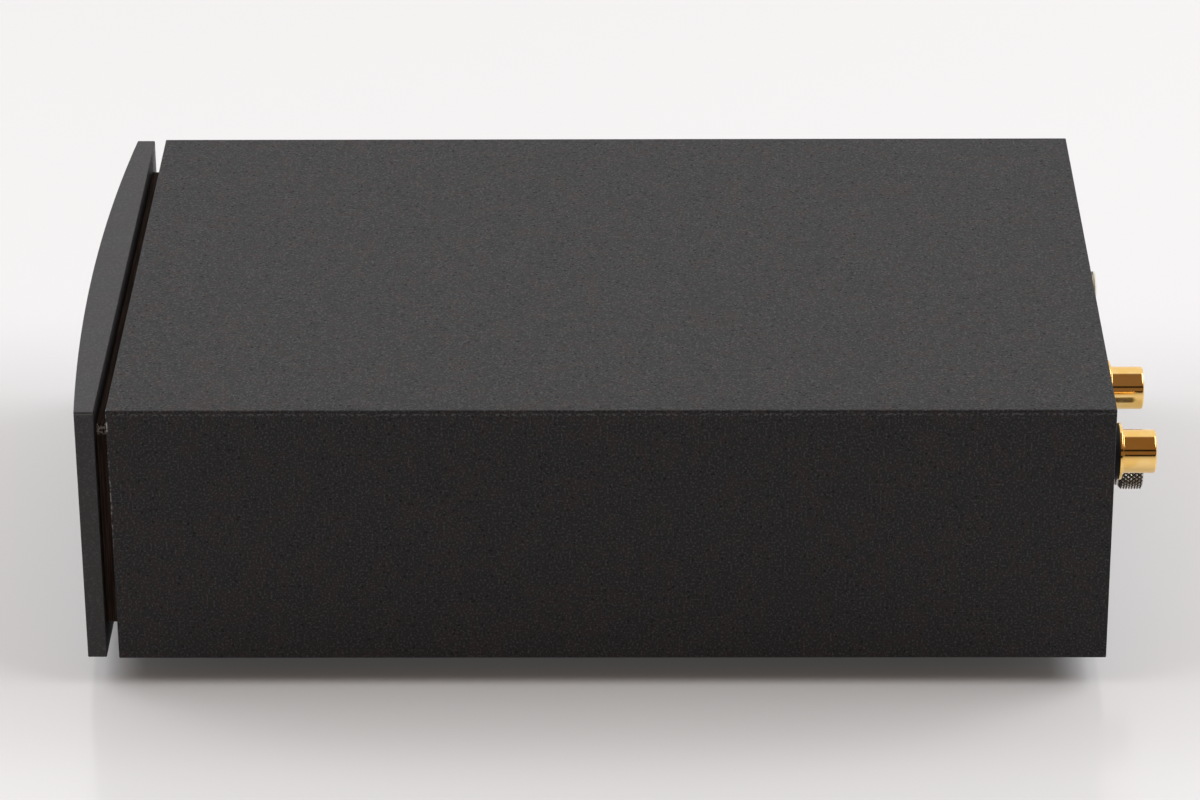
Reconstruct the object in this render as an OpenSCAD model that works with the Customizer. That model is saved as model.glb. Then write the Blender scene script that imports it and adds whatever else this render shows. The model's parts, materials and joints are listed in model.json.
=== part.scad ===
// Phono preamplifier in a box-section case.
// A folded tray carries the circuit board and the rear panel with its sockets, and
// slides into a square-cornered aluminium tube. A bowed fascia stands off the front of
// the tube on a spacer, and four rubber feet hold tube and tray together with screws.
// X runs across the case, Y from the fascia (-) to the sockets (+), Z up.
// The origin is on the floor, below the middle of the whole object.

/* [Case tube] */
// Outer width of the tube
tube_w = 126; // [124:1:150]
// Outer height of the tube
tube_h = 52.5; // [50:0.5:64]
// Length of the tube
tube_l = 187; // [182:1:230]
// Wall thickness of the tube
tube_wall = 3.2; // [2.6:0.1:3.6]
// Radius on the long outer edges of the tube
tube_edge_r = 0.4; // [0.2:0.1:1]

/* [Fascia] */
// Thickness of the fascia in the middle
fascia_t = 6.3; // [6:0.1:9]
// Radius of the bowed front face, in plan
fascia_bow_r = 730; // [700:10:2000]
// How far the fascia stops short of the tube's top and bottom
fascia_trim = 0.25; // [0:0.05:1]
// Radius on the four corners of the fascia
fascia_corner_r = 0.6; // [0.2:0.1:2]
// Open gap between the tube and the fascia
fascia_gap = 2.3; // [1.5:0.1:5]
// How far the spacer stops short of the case's sides
spacer_inset_x = 4.5; // [3.8:0.1:8]
// How far the spacer stops short of the case's top and bottom
spacer_inset_z = 5.1; // [3.8:0.1:8]
// Distance of the fascia screws from the middle, across
fascia_screw_x = 45; // [30:1:50]
// Distance of the fascia screws from the middle, up and down
fascia_screw_z = 12; // [8:1:14]
// Depth of the tapped holes in the fascia
fascia_tap_depth = 2.9; // [2:0.1:3.1]

/* [Power light] */
// Diameter of the light pipe
pipe_d = 3; // [2.5:0.1:4]
// Diameter of the light pipe's collar
pipe_collar_d = 5; // [4.6:0.1:6]
// Thickness of the light pipe's collar
pipe_collar_t = 1.2; // [0.8:0.1:1.5]
// How deep the light pipe's end sits below the front face
pipe_recess = 0.2; // [0.1:0.05:0.5]
// Diameter of the lamp
lamp_d = 3; // [2.8:0.1:4]
// Length of the lamp from flange to tip
lamp_l = 4.8; // [4:0.1:6]
// Diameter of the lamp holder's sleeve
holder_d = 6; // [5.5:0.1:7]
// Diameter of the lamp holder's flange
holder_flange_d = 8; // [7.5:0.1:10]

/* [Feet] */
// Height of a foot
foot_h = 6; // [4:0.5:12]
// Diameter of a foot where it meets the case
foot_d = 15; // [12:0.5:18]
// Diameter of a foot where it meets the table
foot_base_d = 12.5; // [10:0.5:15]
// Distance of the feet from the sides of the tube
foot_inset_x = 22; // [20:1:28]
// Distance of the feet from the ends of the tube
foot_inset_y = 16; // [14:1:24]
// Depth of the counterbore that hides the screw head
foot_cbore_depth = 2.7; // [2.3:0.1:3]
// Diameter of that counterbore
foot_cbore_d = 7; // [6.4:0.1:8]

/* [Tray] */
// Sheet thickness of the tray
tray_t = 1.5; // [1.2:0.1:2]
// Inner bend radius of the sheet
tray_bend_r = 1; // [0.5:0.1:2]
// Clearance between the tray and the tube's sides
tray_side_c = 0.3; // [0.2:0.05:0.6]
// Clearance between the tray's front wall and the tube's roof
tray_top_c = 0.4; // [0.2:0.05:0.8]
// How far the rear panel sits inside the tube
rear_inset = 0.4; // [0:0.1:1]
// How far the front wall sits inside the tube
front_inset = 0.5; // [0:0.1:1.5]
// Height of the stiffening lips along the sides
tray_lip_h = 8; // [5:0.5:12]
// Height of the tray's rear lip, which the rear panel is welded to
rear_lip_h = 5; // [4:0.5:6]
// Relief between a lip and an end wall
tray_relief = 4; // [3:0.5:8]

/* [Circuit board] */
// Length of the board
board_l = 150; // [145:1:160]
// Thickness of the board
board_t = 1.6; // [1.2:0.1:2]
// Gap between the board and the tray's lips
board_side_gap = 1; // [0.5:0.1:2]
// Gap between the board and the rear panel
board_rear_gap = 1; // [0.5:0.1:2]
// Height of the standoffs
standoff_h = 5; // [4:0.5:8]
// Diameter of the standoffs
standoff_d = 5.5; // [5:0.1:6.5]
// Distance of the board's holes from its side edges
board_hole_inset_x = 4.5; // [4:0.1:6]
// Distance of the rear holes from the board's rear edge
board_hole_inset_rear = 14; // [13:1:18]
// Distance of the front holes from the board's front edge
board_hole_inset_front = 5; // [4:0.5:8]

/* [Board fittings] */
// Diameter of the reservoir capacitors
reservoir_d = 16; // [12:0.5:17]
// Height of the reservoir capacitors
reservoir_h = 25; // [20:0.5:30]
// Diameter of the coupling capacitors
coupling_d = 8; // [6:0.5:9]
// Height of the coupling capacitors
coupling_h = 12; // [8:0.5:16]
// Length of the film capacitors
film_l = 13; // [10:0.5:14]
// Thickness of the film capacitors
film_t = 6; // [4:0.1:7]
// Height of the film capacitors
film_h = 11; // [8:0.5:14]
// Length of the amplifier chips
chip_l = 9.8; // [9:0.1:10.4]
// Width of the amplifier chips
chip_w = 6.4; // [6:0.1:7]
// Thickness of the amplifier chips
chip_t = 3.3; // [3:0.1:3.6]
// Height of the chips' sockets
chip_socket_h = 4; // [3:0.1:5]
// Length of a resistor's body
resistor_l = 6.3; // [5:0.1:7]
// Diameter of a resistor's ends
resistor_d = 2.4; // [2:0.1:2.6]
// Distance between a resistor's legs
resistor_span = 10.2; // [8:0.1:10.6]
// Width of the voltage regulators
regulator_w = 10; // [9:0.1:11]
// Height of a regulator's moulded block
regulator_block_h = 9; // [8:0.1:10]
// Height of a regulator's metal tab
regulator_tab_h = 15.5; // [14:0.1:17]
// Height of a regulator above the board
regulator_leg_h = 5; // [3:0.1:7]
// Height of the wire headers
header_h = 6; // [5:0.1:8]
// Depth of the wire headers
header_w = 5.8; // [5:0.1:6.5]
// Distance between two leads in a header
header_pitch = 2.5; // [2.2:0.1:2.6]

/* [Screws] */
// Shank diameter of the small screws
screw_d = 3; // [2.5:0.1:3]
// Head diameter of the small screws
screw_head_d = 5.6; // [5:0.1:6]
// Head height of the small screws
screw_head_t = 2; // [1.6:0.1:2.2]
// Diameter of the clinch nuts' collar
clinch_d = 6.4; // [6:0.1:7]
// Height of the clinch nuts above the sheet
clinch_h = 2; // [1.5:0.1:3]
// Diameter of the clinch nuts' and standoffs' spigots
clinch_spigot_d = 4.2; // [4:0.1:4.6]

/* [Sockets] */
// Diameter of a socket's barrel, which a phono plug's collar grips
barrel_d = 8.3; // [8.1:0.05:8.5]
// Inner diameter of a socket's barrel
barrel_bore_d = 6.4; // [6:0.1:6.6]
// Diameter of the hole that takes a phono plug's pin
plug_pin_d = 3.2; // [3.1:0.05:3.4]
// Depth of that hole
plug_pin_depth = 8.5; // [7:0.1:9]
// Outer diameter of the centre contact
contact_d = 4.3; // [4:0.1:4.8]
// Rounding on the barrel's outer edge
barrel_edge_r = 0.7; // [0.3:0.1:0.9]
// How deep the insulator's face sits in the barrel
core_recess = 0.6; // [0.3:0.1:1.5]

/* [Input sockets] */
// Distance of the input pair's middle from the side of the tube
input_inset_x = 32; // [29:1:34]
// Distance between the two input sockets
input_pitch = 27; // [25:1:30]
// Height of the input sockets above the tube's bottom
input_z = 34.5; // [32:0.5:36]
// How far the input barrels reach beyond the tube
input_reach = 9.4; // [8.5:0.1:12]
// Diameter of the gold flange
flange_d = 10.8; // [10:0.1:13]
// Thickness of the gold flange
flange_t = 0.9; // [0.6:0.1:1.5]
// Diameter of the step between flange and barrel
step_d = 9.2; // [8.8:0.1:9.8]
// Thickness of that step
step_t = 0.5; // [0.3:0.1:0.8]
// Diameter of the outer insulating washer
outer_washer_d = 10.8; // [10:0.1:13]
// Thickness of the outer insulating washer
outer_washer_t = 2.2; // [1:0.1:3]
// Diameter of the threaded bushing behind the panel
bushing_d = 7.8; // [7.4:0.1:8]
// Length of the bushing behind the rear panel's outer face
bushing_l = 8.5; // [7.5:0.5:12]
// Diameter of the hole in the panel for an insulated socket
input_hole_d = 9.8; // [9.4:0.1:9.9]
// Thickness of the inner insulating washer
inner_washer_t = 1.2; // [0.8:0.1:2]
// Diameter of the inner insulating washer
inner_washer_d = 12; // [11:0.5:14]
// Thickness of the solder tags
tag_t = 0.5; // [0.4:0.1:0.8]
// Width across the flats of the sockets' lock nuts
socket_nut_af = 11; // [10:0.5:12]
// Thickness of the sockets' lock nuts
socket_nut_t = 2.2; // [1.8:0.1:3]

/* [Output sockets] */
// Distance of the output pair's middle from the side of the tube
output_inset_x = 32; // [29:1:34]
// Distance between the two output sockets
output_pitch = 27; // [25:1:30]
// Height of the output sockets' axis above the board
output_axis_h = 6; // [5.5:0.1:8]
// How far the output barrels reach beyond the tube
output_reach = 6; // [5:0.1:7]
// Width of a moulded socket housing
housing_w = 10; // [9.6:0.1:12]
// Depth of a moulded socket housing
housing_l = 11; // [10:0.5:13]
// Chamfer on the housing's top edges
housing_chamfer = 1; // [0.5:0.1:2]
// Gap between the housing and the rear panel
housing_gap = 0.3; // [0.2:0.05:0.6]
// Diameter of the shoulder behind the output barrels
shoulder_d = 9; // [8.6:0.1:9.2]
// Diameter of the panel holes for the output sockets
output_hole_d = 9.8; // [9.5:0.1:10.5]

/* [Ground terminal] */
// Distance of the ground terminal from the side of the tube
ground_inset_x = 32; // [30:1:34]
// Height of the ground terminal above the tube's bottom
ground_z = 24.7; // [22:0.1:26]
// Diameter of the ground stud
stud_d = 4; // [3.5:0.1:5]
// How far the stud reaches beyond the tube
stud_reach = 9; // [8.6:0.1:9.2]
// Width across the flats of the ground stud's head and fixed nut
stud_hex_af = 7; // [6.5:0.1:8]
// Thickness of the stud's head
stud_head_t = 2.8; // [2:0.1:4]
// Thickness of the fixed nut
fixed_nut_t = 3.2; // [2.5:0.1:3.4]
// Thickness of the lock washer under the fixed nut
lock_washer_t = 0.5; // [0.3:0.1:1]
// Diameter of the loose clamping washer
clamp_washer_d = 8; // [7.5:0.1:9]
// Thickness of the loose clamping washer
clamp_washer_t = 0.5; // [0.4:0.1:0.8]
// Play between washer, fixed nut and thumb nut when closed
clamp_play = 0.05; // [0.02:0.01:0.1]
// Diameter of the thumb nut over the knurl's points
thumb_d = 9.5; // [8:0.1:11]
// Length of the thumb nut
thumb_l = 4.6; // [4:0.1:5]
// Depth of the knurl
knurl_depth = 0.32; // [0.1:0.02:0.5]
// Number of diamonds round the thumb nut
knurl_count = 36; // [24:1:40]
// Rows of diamonds along the thumb nut
knurl_rows = 5; // [3:1:6]
// Diameter of the thumb nut's end faces inside the chamfers
thumb_face_d = 8.3; // [7:0.1:8.6]
// Length of the chamfer towards the case
thumb_chamfer_in = 0.6; // [0.3:0.1:1]
// Length of the chamfer at the free end
thumb_chamfer_out = 0.3; // [0.2:0.1:0.6]

/* [Power inlet] */
// Distance of the power inlet from the side of the tube
inlet_inset_x = 32; // [30:1:34]
// Height of the power inlet above the tube's bottom
inlet_z = 32.5; // [32:0.5:36]
// How far the inlet's bushing reaches beyond the tube
inlet_reach = 4.2; // [3.5:0.1:6]
// Diameter of the inlet's threaded bushing
inlet_bushing_d = 8; // [7.6:0.1:9]
// Diameter of the opening for the power plug
inlet_bore_d = 5.7; // [5.5:0.05:6]
// Depth of the opening for the power plug
inlet_bore_depth = 10; // [9:0.5:12]
// Diameter of the centre pin
inlet_pin_d = 2.1; // [1.6:0.1:2.5]
// How deep the centre pin's tip sits in the opening
inlet_pin_recess = 0.8; // [0.4:0.1:1.5]
// Width across the flats of the inlet's nut
inlet_nut_af = 10; // [9.6:0.1:12]
// Thickness of the inlet's nut
inlet_nut_t = 2; // [1.5:0.1:2.5]
// Diameter of the washer under the inlet's nut
inlet_washer_d = 10.8; // [10:0.1:13]
// Thickness of the washer under the inlet's nut
inlet_washer_t = 0.5; // [0.3:0.1:1]
// Diameter of the inlet's body behind the panel
inlet_body_d = 11; // [10.5:0.5:12]
// Length of the inlet's body behind the panel
inlet_body_l = 10; // [9:0.5:13]

/* [Clearances] */
// Radial clearance of screws, studs and bushings in plain holes
pass_c = 0.2; // [0.1:0.05:0.3]
// Radial clearance of pieces that are pressed or screwed together
seat_c = 0.05; // [0.02:0.01:0.08]

/* [Hidden] */
$fn = 48;
SLIGHT = 0.01;     // lets a cut run clear of the face that it opens

// Where the case's parts lie along Y
total_l = fascia_t + fascia_gap + tube_l + input_reach;
front_y = -total_l / 2;
fascia_back_y = front_y + fascia_t;
tube_front_y = fascia_back_y + fascia_gap;
tube_rear_y = tube_front_y + tube_l;
panel_front_y = tube_front_y + front_inset;      // outer face of the tray's front wall
panel_rear_y = tube_rear_y - rear_inset;         // outer face of the rear panel
rear_inner_y = panel_rear_y - tray_t;              // the tray's rear lip ends here
front_inner_y = panel_front_y + tray_t;

// Levels, from the floor up
tube_z = foot_h;                                 // underside of the tube
tray_z = tube_z + tube_wall;
tray_floor_z = tray_z + tray_t;
board_z = tray_floor_z + standoff_h;
board_top = board_z + board_t;
mid_z = tube_z + tube_h / 2;
roof_z = tube_z + tube_h - tube_wall;

// The tray
tray_w = tube_w - 2 * (tube_wall + tray_side_c);
tray_l = rear_inner_y - panel_front_y;
tray_wall_h = roof_z - tray_top_c - tray_z;

// The board
board_w = tray_w - 2 * (tray_t + board_side_gap);
board_rear_y = rear_inner_y - board_rear_gap;
board_front_y = board_rear_y - board_l;
hole_x = board_w / 2 - board_hole_inset_x;
hole_rear_y = board_rear_y - board_hole_inset_rear;
hole_front_y = board_front_y + board_hole_inset_front;
board_holes = [for (x = [-hole_x, hole_x],
                    y = [hole_front_y, (hole_front_y + hole_rear_y) / 2, hole_rear_y]) [x, y]];

// The feet and the fascia's screws
foot_x = tube_w / 2 - foot_inset_x;
foot_spots = [for (x = [-foot_x, foot_x],
                   y = [tube_front_y + foot_inset_y, tube_rear_y - foot_inset_y]) [x, y]];
fascia_spots = [for (x = [-fascia_screw_x, fascia_screw_x],
                     z = [mid_z - fascia_screw_z, mid_z + fascia_screw_z]) [x, z]];

// The sockets' axes, as [x, z]
input_x = tube_w / 2 - input_inset_x;
output_x = output_inset_x - tube_w / 2;
input_left = [input_x + input_pitch / 2, tube_z + input_z];
input_right = [input_x - input_pitch / 2, tube_z + input_z];
output_left = [output_x + output_pitch / 2, board_top + output_axis_h];
output_right = [output_x - output_pitch / 2, board_top + output_axis_h];
ground = [tube_w / 2 - ground_inset_x, tube_z + ground_z];
inlet = [inlet_inset_x - tube_w / 2, tube_z + inlet_z];

// Depths at the sockets, from the rear panel's outer face (0), outwards positive
input_end = rear_inset + input_reach;
output_end = rear_inset + output_reach;
flange_y = outer_washer_t;                       // back of the gold flange
inner_stack = tray_t + inner_washer_t;           // depth of the tag's near face
nut_stack = inner_stack + tag_t;                 // depth of the lock nut's near face
contact_tail = 3;                                // contact behind the insulator
housing_front = tray_t + housing_gap;
housing_back = housing_front + housing_l;
housing_wall = 1.4;                              // plastic above the shoulder
housing_floor = 2;                               // plastic behind the barrel
housing_h = output_axis_h + shoulder_d / 2 + housing_wall;
barrel_back = housing_back - housing_floor;      // inner end of the output barrel
shoulder_out = 0.3;                              // shoulder beyond the rear panel
leg_t = 0.6;                                     // thickness of the sockets' legs
leg_w = 1.6;                                     // width of the sockets' legs
leg_below = 1.2;                                 // legs below the board
leg_inset = 3;                                   // shell's leg behind the housing's face
core_d = barrel_bore_d - 2 * seat_c;

// The ground terminal, from the rear panel's outer face
fixed_nut_y = lock_washer_t;
clamp_washer_y = fixed_nut_y + fixed_nut_t + clamp_play;
thumb_y = clamp_washer_y + clamp_washer_t + clamp_play;
stud_end = rear_inset + stud_reach;

// The power inlet, from the rear panel's outer face
inlet_floor_y = rear_inset + inlet_reach - inlet_bore_depth;
inlet_root_d = inlet_pin_d + 0.6;                // the pin inside the moulded body

// Tags: the ring and the tail that a lead is soldered to
tag_tail_l = 6;
tag_tail_w = 3;
ground_tag_d = 8;

// Leads
lead_d = 1.3;
lead_rings = 14;
lead_sides = 8;
lead_pull = 12;          // how stiffly a lead leaves its ends
lead_landing = 4;        // the ground lead meets the board this far behind the header

// Places of the board's fittings, as shares of the board's width (0 in the middle) and
// of its length (0 at the front edge), so that they keep their spacing on any board
reservoir_places = [for (u = [-1/4, -1/12, 1/12, 1/4], v = [0.18, 0.305]) [u, v]];
coupling_places = [for (s = [-1, 1], u = [0.123, 0.228, 0.333]) [s * u, 2/3]];
film_places = [for (s = [-1, 1], v = [0.40, 0.46, 0.52, 0.58]) [s * 0.3, v]];
chip_places = [for (s = [-1, 1], v = [0.413, 0.52]) [s * 0.105, v]];
resistor_places = [for (s = [-1, 1], i = [0 : 6]) [s * 0.4386, 0.53 + 0.0293 * i]];
regulator_places = [[-0.105, 0.0533], [0.105, 0.0533]];
header_v = 0.76;                                 // the rear headers, along the board
lamp_header_v = 0.06;                            // the lamp's header, along the board

function on_board(place) = [place[0] * board_w, board_front_y + place[1] * board_l];

input_header = [input_x, on_board([0, header_v])[1]];
power_header = [inlet[0], on_board([0, header_v])[1]];
lamp_header = on_board([0, lamp_header_v]);

// ---- helpers ----

// Puts its children on an axis [x, z], with their Z turned to run outwards along +Y
// from the rear panel's outer face
module at_rear(axis) {
    translate([axis[0], panel_rear_y, axis[1]]) rotate([-90, 0, 0]) children();
}

// A ring from depth a to depth b, with a hole unless it is 0
module ring(outer_d, hole_d, a, b) {
    difference() {
        translate([0, 0, a]) cylinder(d = outer_d, h = b - a);
        if (hole_d > 0)
            translate([0, 0, a - 1]) cylinder(d = hole_d, h = b - a + 2);
    }
}

// A hexagon nut from depth a to depth b, its corners chamfered at the end faces
module hex_nut(across_flats, hole_d, a, b) {
    corner_r = across_flats / 2 / cos(30);
    cut = corner_r - across_flats / 2;
    difference() {
        intersection() {
            translate([0, 0, a]) cylinder(r = corner_r, h = b - a, $fn = 6);
            rotate_extrude()
                polygon([[0, a], [across_flats / 2, a], [corner_r, a + cut * 0.6],
                         [corner_r, b - cut * 0.6], [across_flats / 2, b], [0, b]]);
        }
        if (hole_d > 0)
            translate([0, 0, a - 1]) cylinder(d = hole_d, h = b - a + 2);
    }
}

// A rectangle, centred, with four round corners
module rounded_rect(w, h, r) {
    square([w - 2 * r, h], center = true);
    square([w, h - 2 * r], center = true);
    for (x = [-1, 1], y = [-1, 1])
        translate([x * (w / 2 - r), y * (h / 2 - r)]) circle(r = r, $fn = 32);
}

// A rectangle standing on y = 0, its two lower corners round
module round_bottom(w, h, r) {
    translate([-w / 2, r]) square([w, h - r]);
    translate([-w / 2 + r, 0]) square([w - 2 * r, 2 * r]);
    for (x = [-1, 1]) translate([x * (w / 2 - r), r]) circle(r = r, $fn = 32);
}

// A pan-head screw with its head's seat at z = 0 and its shank up +Z
module pan_screw(shank_l) {
    round_r = screw_head_t * 0.45;
    rotate_extrude() {
        polygon([[0, -screw_head_t], [screw_head_d / 2 - round_r, -screw_head_t],
                 [screw_head_d / 2 - round_r * 0.3, -screw_head_t + round_r * 0.3],
                 [screw_head_d / 2, -screw_head_t + round_r], [screw_head_d / 2, 0],
                 [screw_d / 2, 0], [screw_d / 2, shank_l], [0, shank_l]]);
    }
}

// A point on the curve from p to q that leaves p along u and reaches q along v
function lead_at(p, u, q, v, t) =
    p * pow(1 - t, 3) + (p + u) * 3 * t * pow(1 - t, 2)
    + (q + v) * 3 * t * t * (1 - t) + q * pow(t, 3);
function lead_slope(p, u, q, v, t) =
    u * 3 * pow(1 - t, 2) + (q + v - p - u) * 6 * t * (1 - t) - v * 3 * t * t;
function unit(v) = v / norm(v);

// A round lead along that curve
module lead(p, u, q, v) {
    points = [for (i = [0 : lead_rings])
        let (t = i / lead_rings,
             c = lead_at(p, u, q, v, t),
             along = unit(lead_slope(p, u, q, v, t)),
             side = unit(cross(along, [1, 0, 0])),
             other = cross(along, side))
        for (k = [0 : lead_sides - 1])
            let (a = 360 * k / lead_sides)
            c + lead_d / 2 * (side * cos(a) + other * sin(a))];
    sides = [for (i = [0 : lead_rings - 1], k = [0 : lead_sides - 1])
        let (a = i * lead_sides + k,
             b = i * lead_sides + (k + 1) % lead_sides)
        each [[a, a + lead_sides, b + lead_sides], [a, b + lead_sides, b]]];
    first = [for (k = [0 : lead_sides - 1]) k];
    last = [for (k = [lead_sides - 1 : -1 : 0]) lead_rings * lead_sides + k];
    polyhedron(concat(points), concat(sides, [first], [last]), convexity = 4);
}

// ---- case ----

module enclosure_tube() {
    color([0.20, 0.20, 0.21])
    difference() {
        translate([0, tube_rear_y, mid_z]) rotate([90, 0, 0])
            linear_extrude(tube_l)
                difference() {
                    rounded_rect(tube_w, tube_h, tube_edge_r);
                    square([tube_w - 2 * tube_wall, tube_h - 2 * tube_wall], center = true);
                }
        for (s = foot_spots)
            translate([s[0], s[1], tube_z - 1])
                cylinder(d = screw_d + 2 * pass_c, h = tube_wall + 2);
    }
}

// The bowed front face is part of a large cylinder with an upright axis
module fascia() {
    color([0.18, 0.18, 0.19])
    difference() {
        intersection() {
            translate([0, fascia_back_y, mid_z]) rotate([90, 0, 0])
                linear_extrude(fascia_t + 1)
                    rounded_rect(tube_w, tube_h - 2 * fascia_trim, fascia_corner_r);
            translate([0, front_y + fascia_bow_r, 0])
                cylinder(r = fascia_bow_r, h = tube_z + tube_h + 1, $fn = 720);
        }
        for (s = fascia_spots)
            translate([s[0], fascia_back_y + SLIGHT, s[1]]) rotate([90, 0, 0])
                cylinder(d = screw_d + 2 * seat_c, h = fascia_tap_depth);
        translate([0, fascia_back_y + 1, mid_z]) rotate([90, 0, 0])
            cylinder(d = pipe_d + 2 * seat_c, h = fascia_t + 2);
    }
}

module fascia_spacer() {
    color([0.16, 0.12, 0.10])
    difference() {
        translate([0, panel_front_y, mid_z]) rotate([90, 0, 0])
            linear_extrude(panel_front_y - fascia_back_y)
                rounded_rect(tube_w - 2 * spacer_inset_x, tube_h - 2 * spacer_inset_z, 1);
        for (s = fascia_spots)
            translate([s[0], panel_front_y + 1, s[1]]) rotate([90, 0, 0])
                cylinder(d = screw_d + 2 * pass_c, h = panel_front_y - fascia_back_y + 2);
        translate([0, panel_front_y + 1, mid_z]) rotate([90, 0, 0])
            cylinder(d = pipe_d + 2 * seat_c, h = panel_front_y - fascia_back_y + 2);
        translate([0, panel_front_y + 1, mid_z]) rotate([90, 0, 0])
            cylinder(d = pipe_collar_d + 2 * pass_c, h = pipe_collar_t + seat_c + 1);
    }
}

module fascia_screws() {
    shank = tray_t + panel_front_y - fascia_back_y + fascia_tap_depth - 2 * pass_c;
    color("gainsboro")
    for (s = fascia_spots)
        translate([s[0], front_inner_y, s[1]]) rotate([90, 0, 0]) pan_screw(shank);
}

// A folded sheet: the floor, the front wall and a low rear lip bend from one strip,
// and a low lip stands along each side
module chassis_tray() {
    lip_l = tray_l - 2 * (tray_t + tray_bend_r + tray_relief);
    color([0.62, 0.63, 0.65])
    difference() {
        union() {
            translate([-tray_w / 2, (rear_inner_y + panel_front_y) / 2, tray_z])
                rotate([90, 0, 90]) linear_extrude(tray_w)
                    difference() {
                        round_bottom(tray_l, tray_wall_h, tray_bend_r + tray_t);
                        translate([0, tray_t])
                            round_bottom(tray_l - 2 * tray_t, tray_wall_h, tray_bend_r);
                        translate([tray_l / 2 - tray_t - SLIGHT, rear_lip_h])
                            square([tray_t + 1, tray_wall_h]);
                    }
            for (x = [-1, 1])
                translate([x * (tray_w - tray_t) / 2, (rear_inner_y + panel_front_y) / 2,
                           tray_z + tray_lip_h / 2])
                    cube([tray_t, lip_l, tray_lip_h], center = true);
        }
        for (s = concat(foot_spots, board_holes))
            translate([s[0], s[1], tray_z - 1])
                cylinder(d = clinch_spigot_d + 2 * seat_c, h = tray_t + 2);
        for (s = fascia_spots) front_hole(s, screw_d + 2 * pass_c);
        front_hole([0, mid_z], holder_d + 2 * seat_c);
    }
}

// A flat plate, welded to the tray's rear lip
module rear_panel() {
    color([0.12, 0.12, 0.12])
    difference() {
        translate([-tray_w / 2, rear_inner_y, tray_z]) cube([tray_w, tray_t, tray_wall_h]);
        for (s = [input_left, input_right]) panel_hole(s, input_hole_d);
        for (s = [output_left, output_right]) panel_hole(s, output_hole_d);
        panel_hole(ground, stud_d + 2 * pass_c);
        panel_hole(inlet, inlet_bushing_d + 2 * pass_c);
    }
}

module panel_hole(axis, d) {
    at_rear(axis) ring(d, 0, -tray_t - 1, 1);
}

module front_hole(axis, d) {
    translate([axis[0], panel_front_y - 1, axis[1]]) rotate([-90, 0, 0])
        cylinder(d = d, h = tray_t + 2);
}

module clinch_nuts() {
    color("silver")
    for (s = foot_spots)
        translate([s[0], s[1], tray_floor_z])
            difference() {
                union() {
                    cylinder(d = clinch_d, h = clinch_h);
                    translate([0, 0, -tray_t]) cylinder(d = clinch_spigot_d, h = tray_t + 1);
                }
                translate([0, 0, -tray_t - 1])
                    cylinder(d = screw_d + 2 * seat_c, h = tray_t + clinch_h + 2);
            }
}

module feet() {
    edge = 0.6;
    color([0.10, 0.10, 0.10])
    for (s = foot_spots)
        translate([s[0], s[1], 0])
            rotate_extrude()
                polygon([[foot_cbore_d / 2, 0], [foot_base_d / 2 - edge, 0],
                         [foot_base_d / 2, edge], [foot_d / 2, foot_h - edge],
                         [foot_d / 2 - edge / 2, foot_h],
                         [screw_d / 2 + pass_c, foot_h],
                         [screw_d / 2 + pass_c, foot_cbore_depth],
                         [foot_cbore_d / 2, foot_cbore_depth]]);
}

module foot_screws() {
    shank = foot_h - foot_cbore_depth + tube_wall + tray_t + clinch_h + pass_c;
    color("gainsboro")
    for (s = foot_spots)
        translate([s[0], s[1], foot_cbore_depth]) pan_screw(shank);
}

// ---- power light ----

module light_pipe() {
    color([0.75, 0.85, 0.95])
    translate([0, panel_front_y, mid_z]) rotate([90, 0, 0]) {
        cylinder(d = pipe_d, h = panel_front_y - front_y - pipe_recess);
        cylinder(d = pipe_collar_d, h = pipe_collar_t);
    }
}

module lamp_holder() {
    color("ivory")
    translate([0, panel_front_y, mid_z]) rotate([-90, 0, 0]) {
        ring(holder_d, lamp_d + 2 * seat_c, 0, tray_t + 0.5);
        ring(holder_flange_d, lamp_d + 2 * seat_c, tray_t, tray_t + 1.5);
    }
}

module power_lamp() {
    flange_t = 0.8;
    color([0.55, 0.75, 0.95])
    translate([0, panel_front_y, mid_z]) rotate([-90, 0, 0]) {
        translate([0, 0, lamp_d / 2]) sphere(d = lamp_d);
        translate([0, 0, lamp_d / 2]) cylinder(d = lamp_d, h = lamp_l - lamp_d / 2);
        translate([0, 0, lamp_l - flange_t]) cylinder(d = lamp_d + 0.8, h = flange_t);
    }
}

module lamp_leads() {
    color("firebrick")
    for (x = [-1, 1])
        lead([x * header_pitch / 2 * 0.6, panel_front_y + lamp_l, mid_z], [0, lead_pull, 0],
             [lamp_header[0] + x * header_pitch / 2, lamp_header[1], board_top + header_h],
             [0, 0, lead_pull]);
}

// ---- circuit board ----

module circuit_board() {
    color([0.10, 0.36, 0.20])
    difference() {
        translate([-board_w / 2, board_front_y, board_z]) cube([board_w, board_l, board_t]);
        for (s = board_holes)
            translate([s[0], s[1], board_z - 1])
                cylinder(d = screw_d + 2 * pass_c, h = board_t + 2);
        for (s = [output_left, output_right], y = [leg_shell_y(), leg_contact_y()])
            translate([s[0], y, board_z + board_t / 2])
                cube([leg_w + 2 * pass_c, leg_t + 2 * pass_c, board_t + 2], center = true);
    }
}

module board_standoffs() {
    color("silver")
    for (s = board_holes)
        translate([s[0], s[1], tray_floor_z])
            difference() {
                union() {
                    cylinder(d = standoff_d, h = standoff_h);
                    translate([0, 0, -tray_t]) cylinder(d = clinch_spigot_d, h = tray_t + 1);
                }
                translate([0, 0, -tray_t / 2])
                    cylinder(d = screw_d + 2 * seat_c, h = tray_t / 2 + standoff_h + 1);
            }
}

module board_screws() {
    color("gainsboro")
    for (s = board_holes)
        translate([s[0], s[1], board_top]) rotate([180, 0, 0])
            pan_screw(board_t + standoff_h);
}

// Puts its children on top of the board at a place given as shares
module on_board_top(place) {
    spot = on_board(place);
    translate([spot[0], spot[1], board_top]) children();
}

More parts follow.
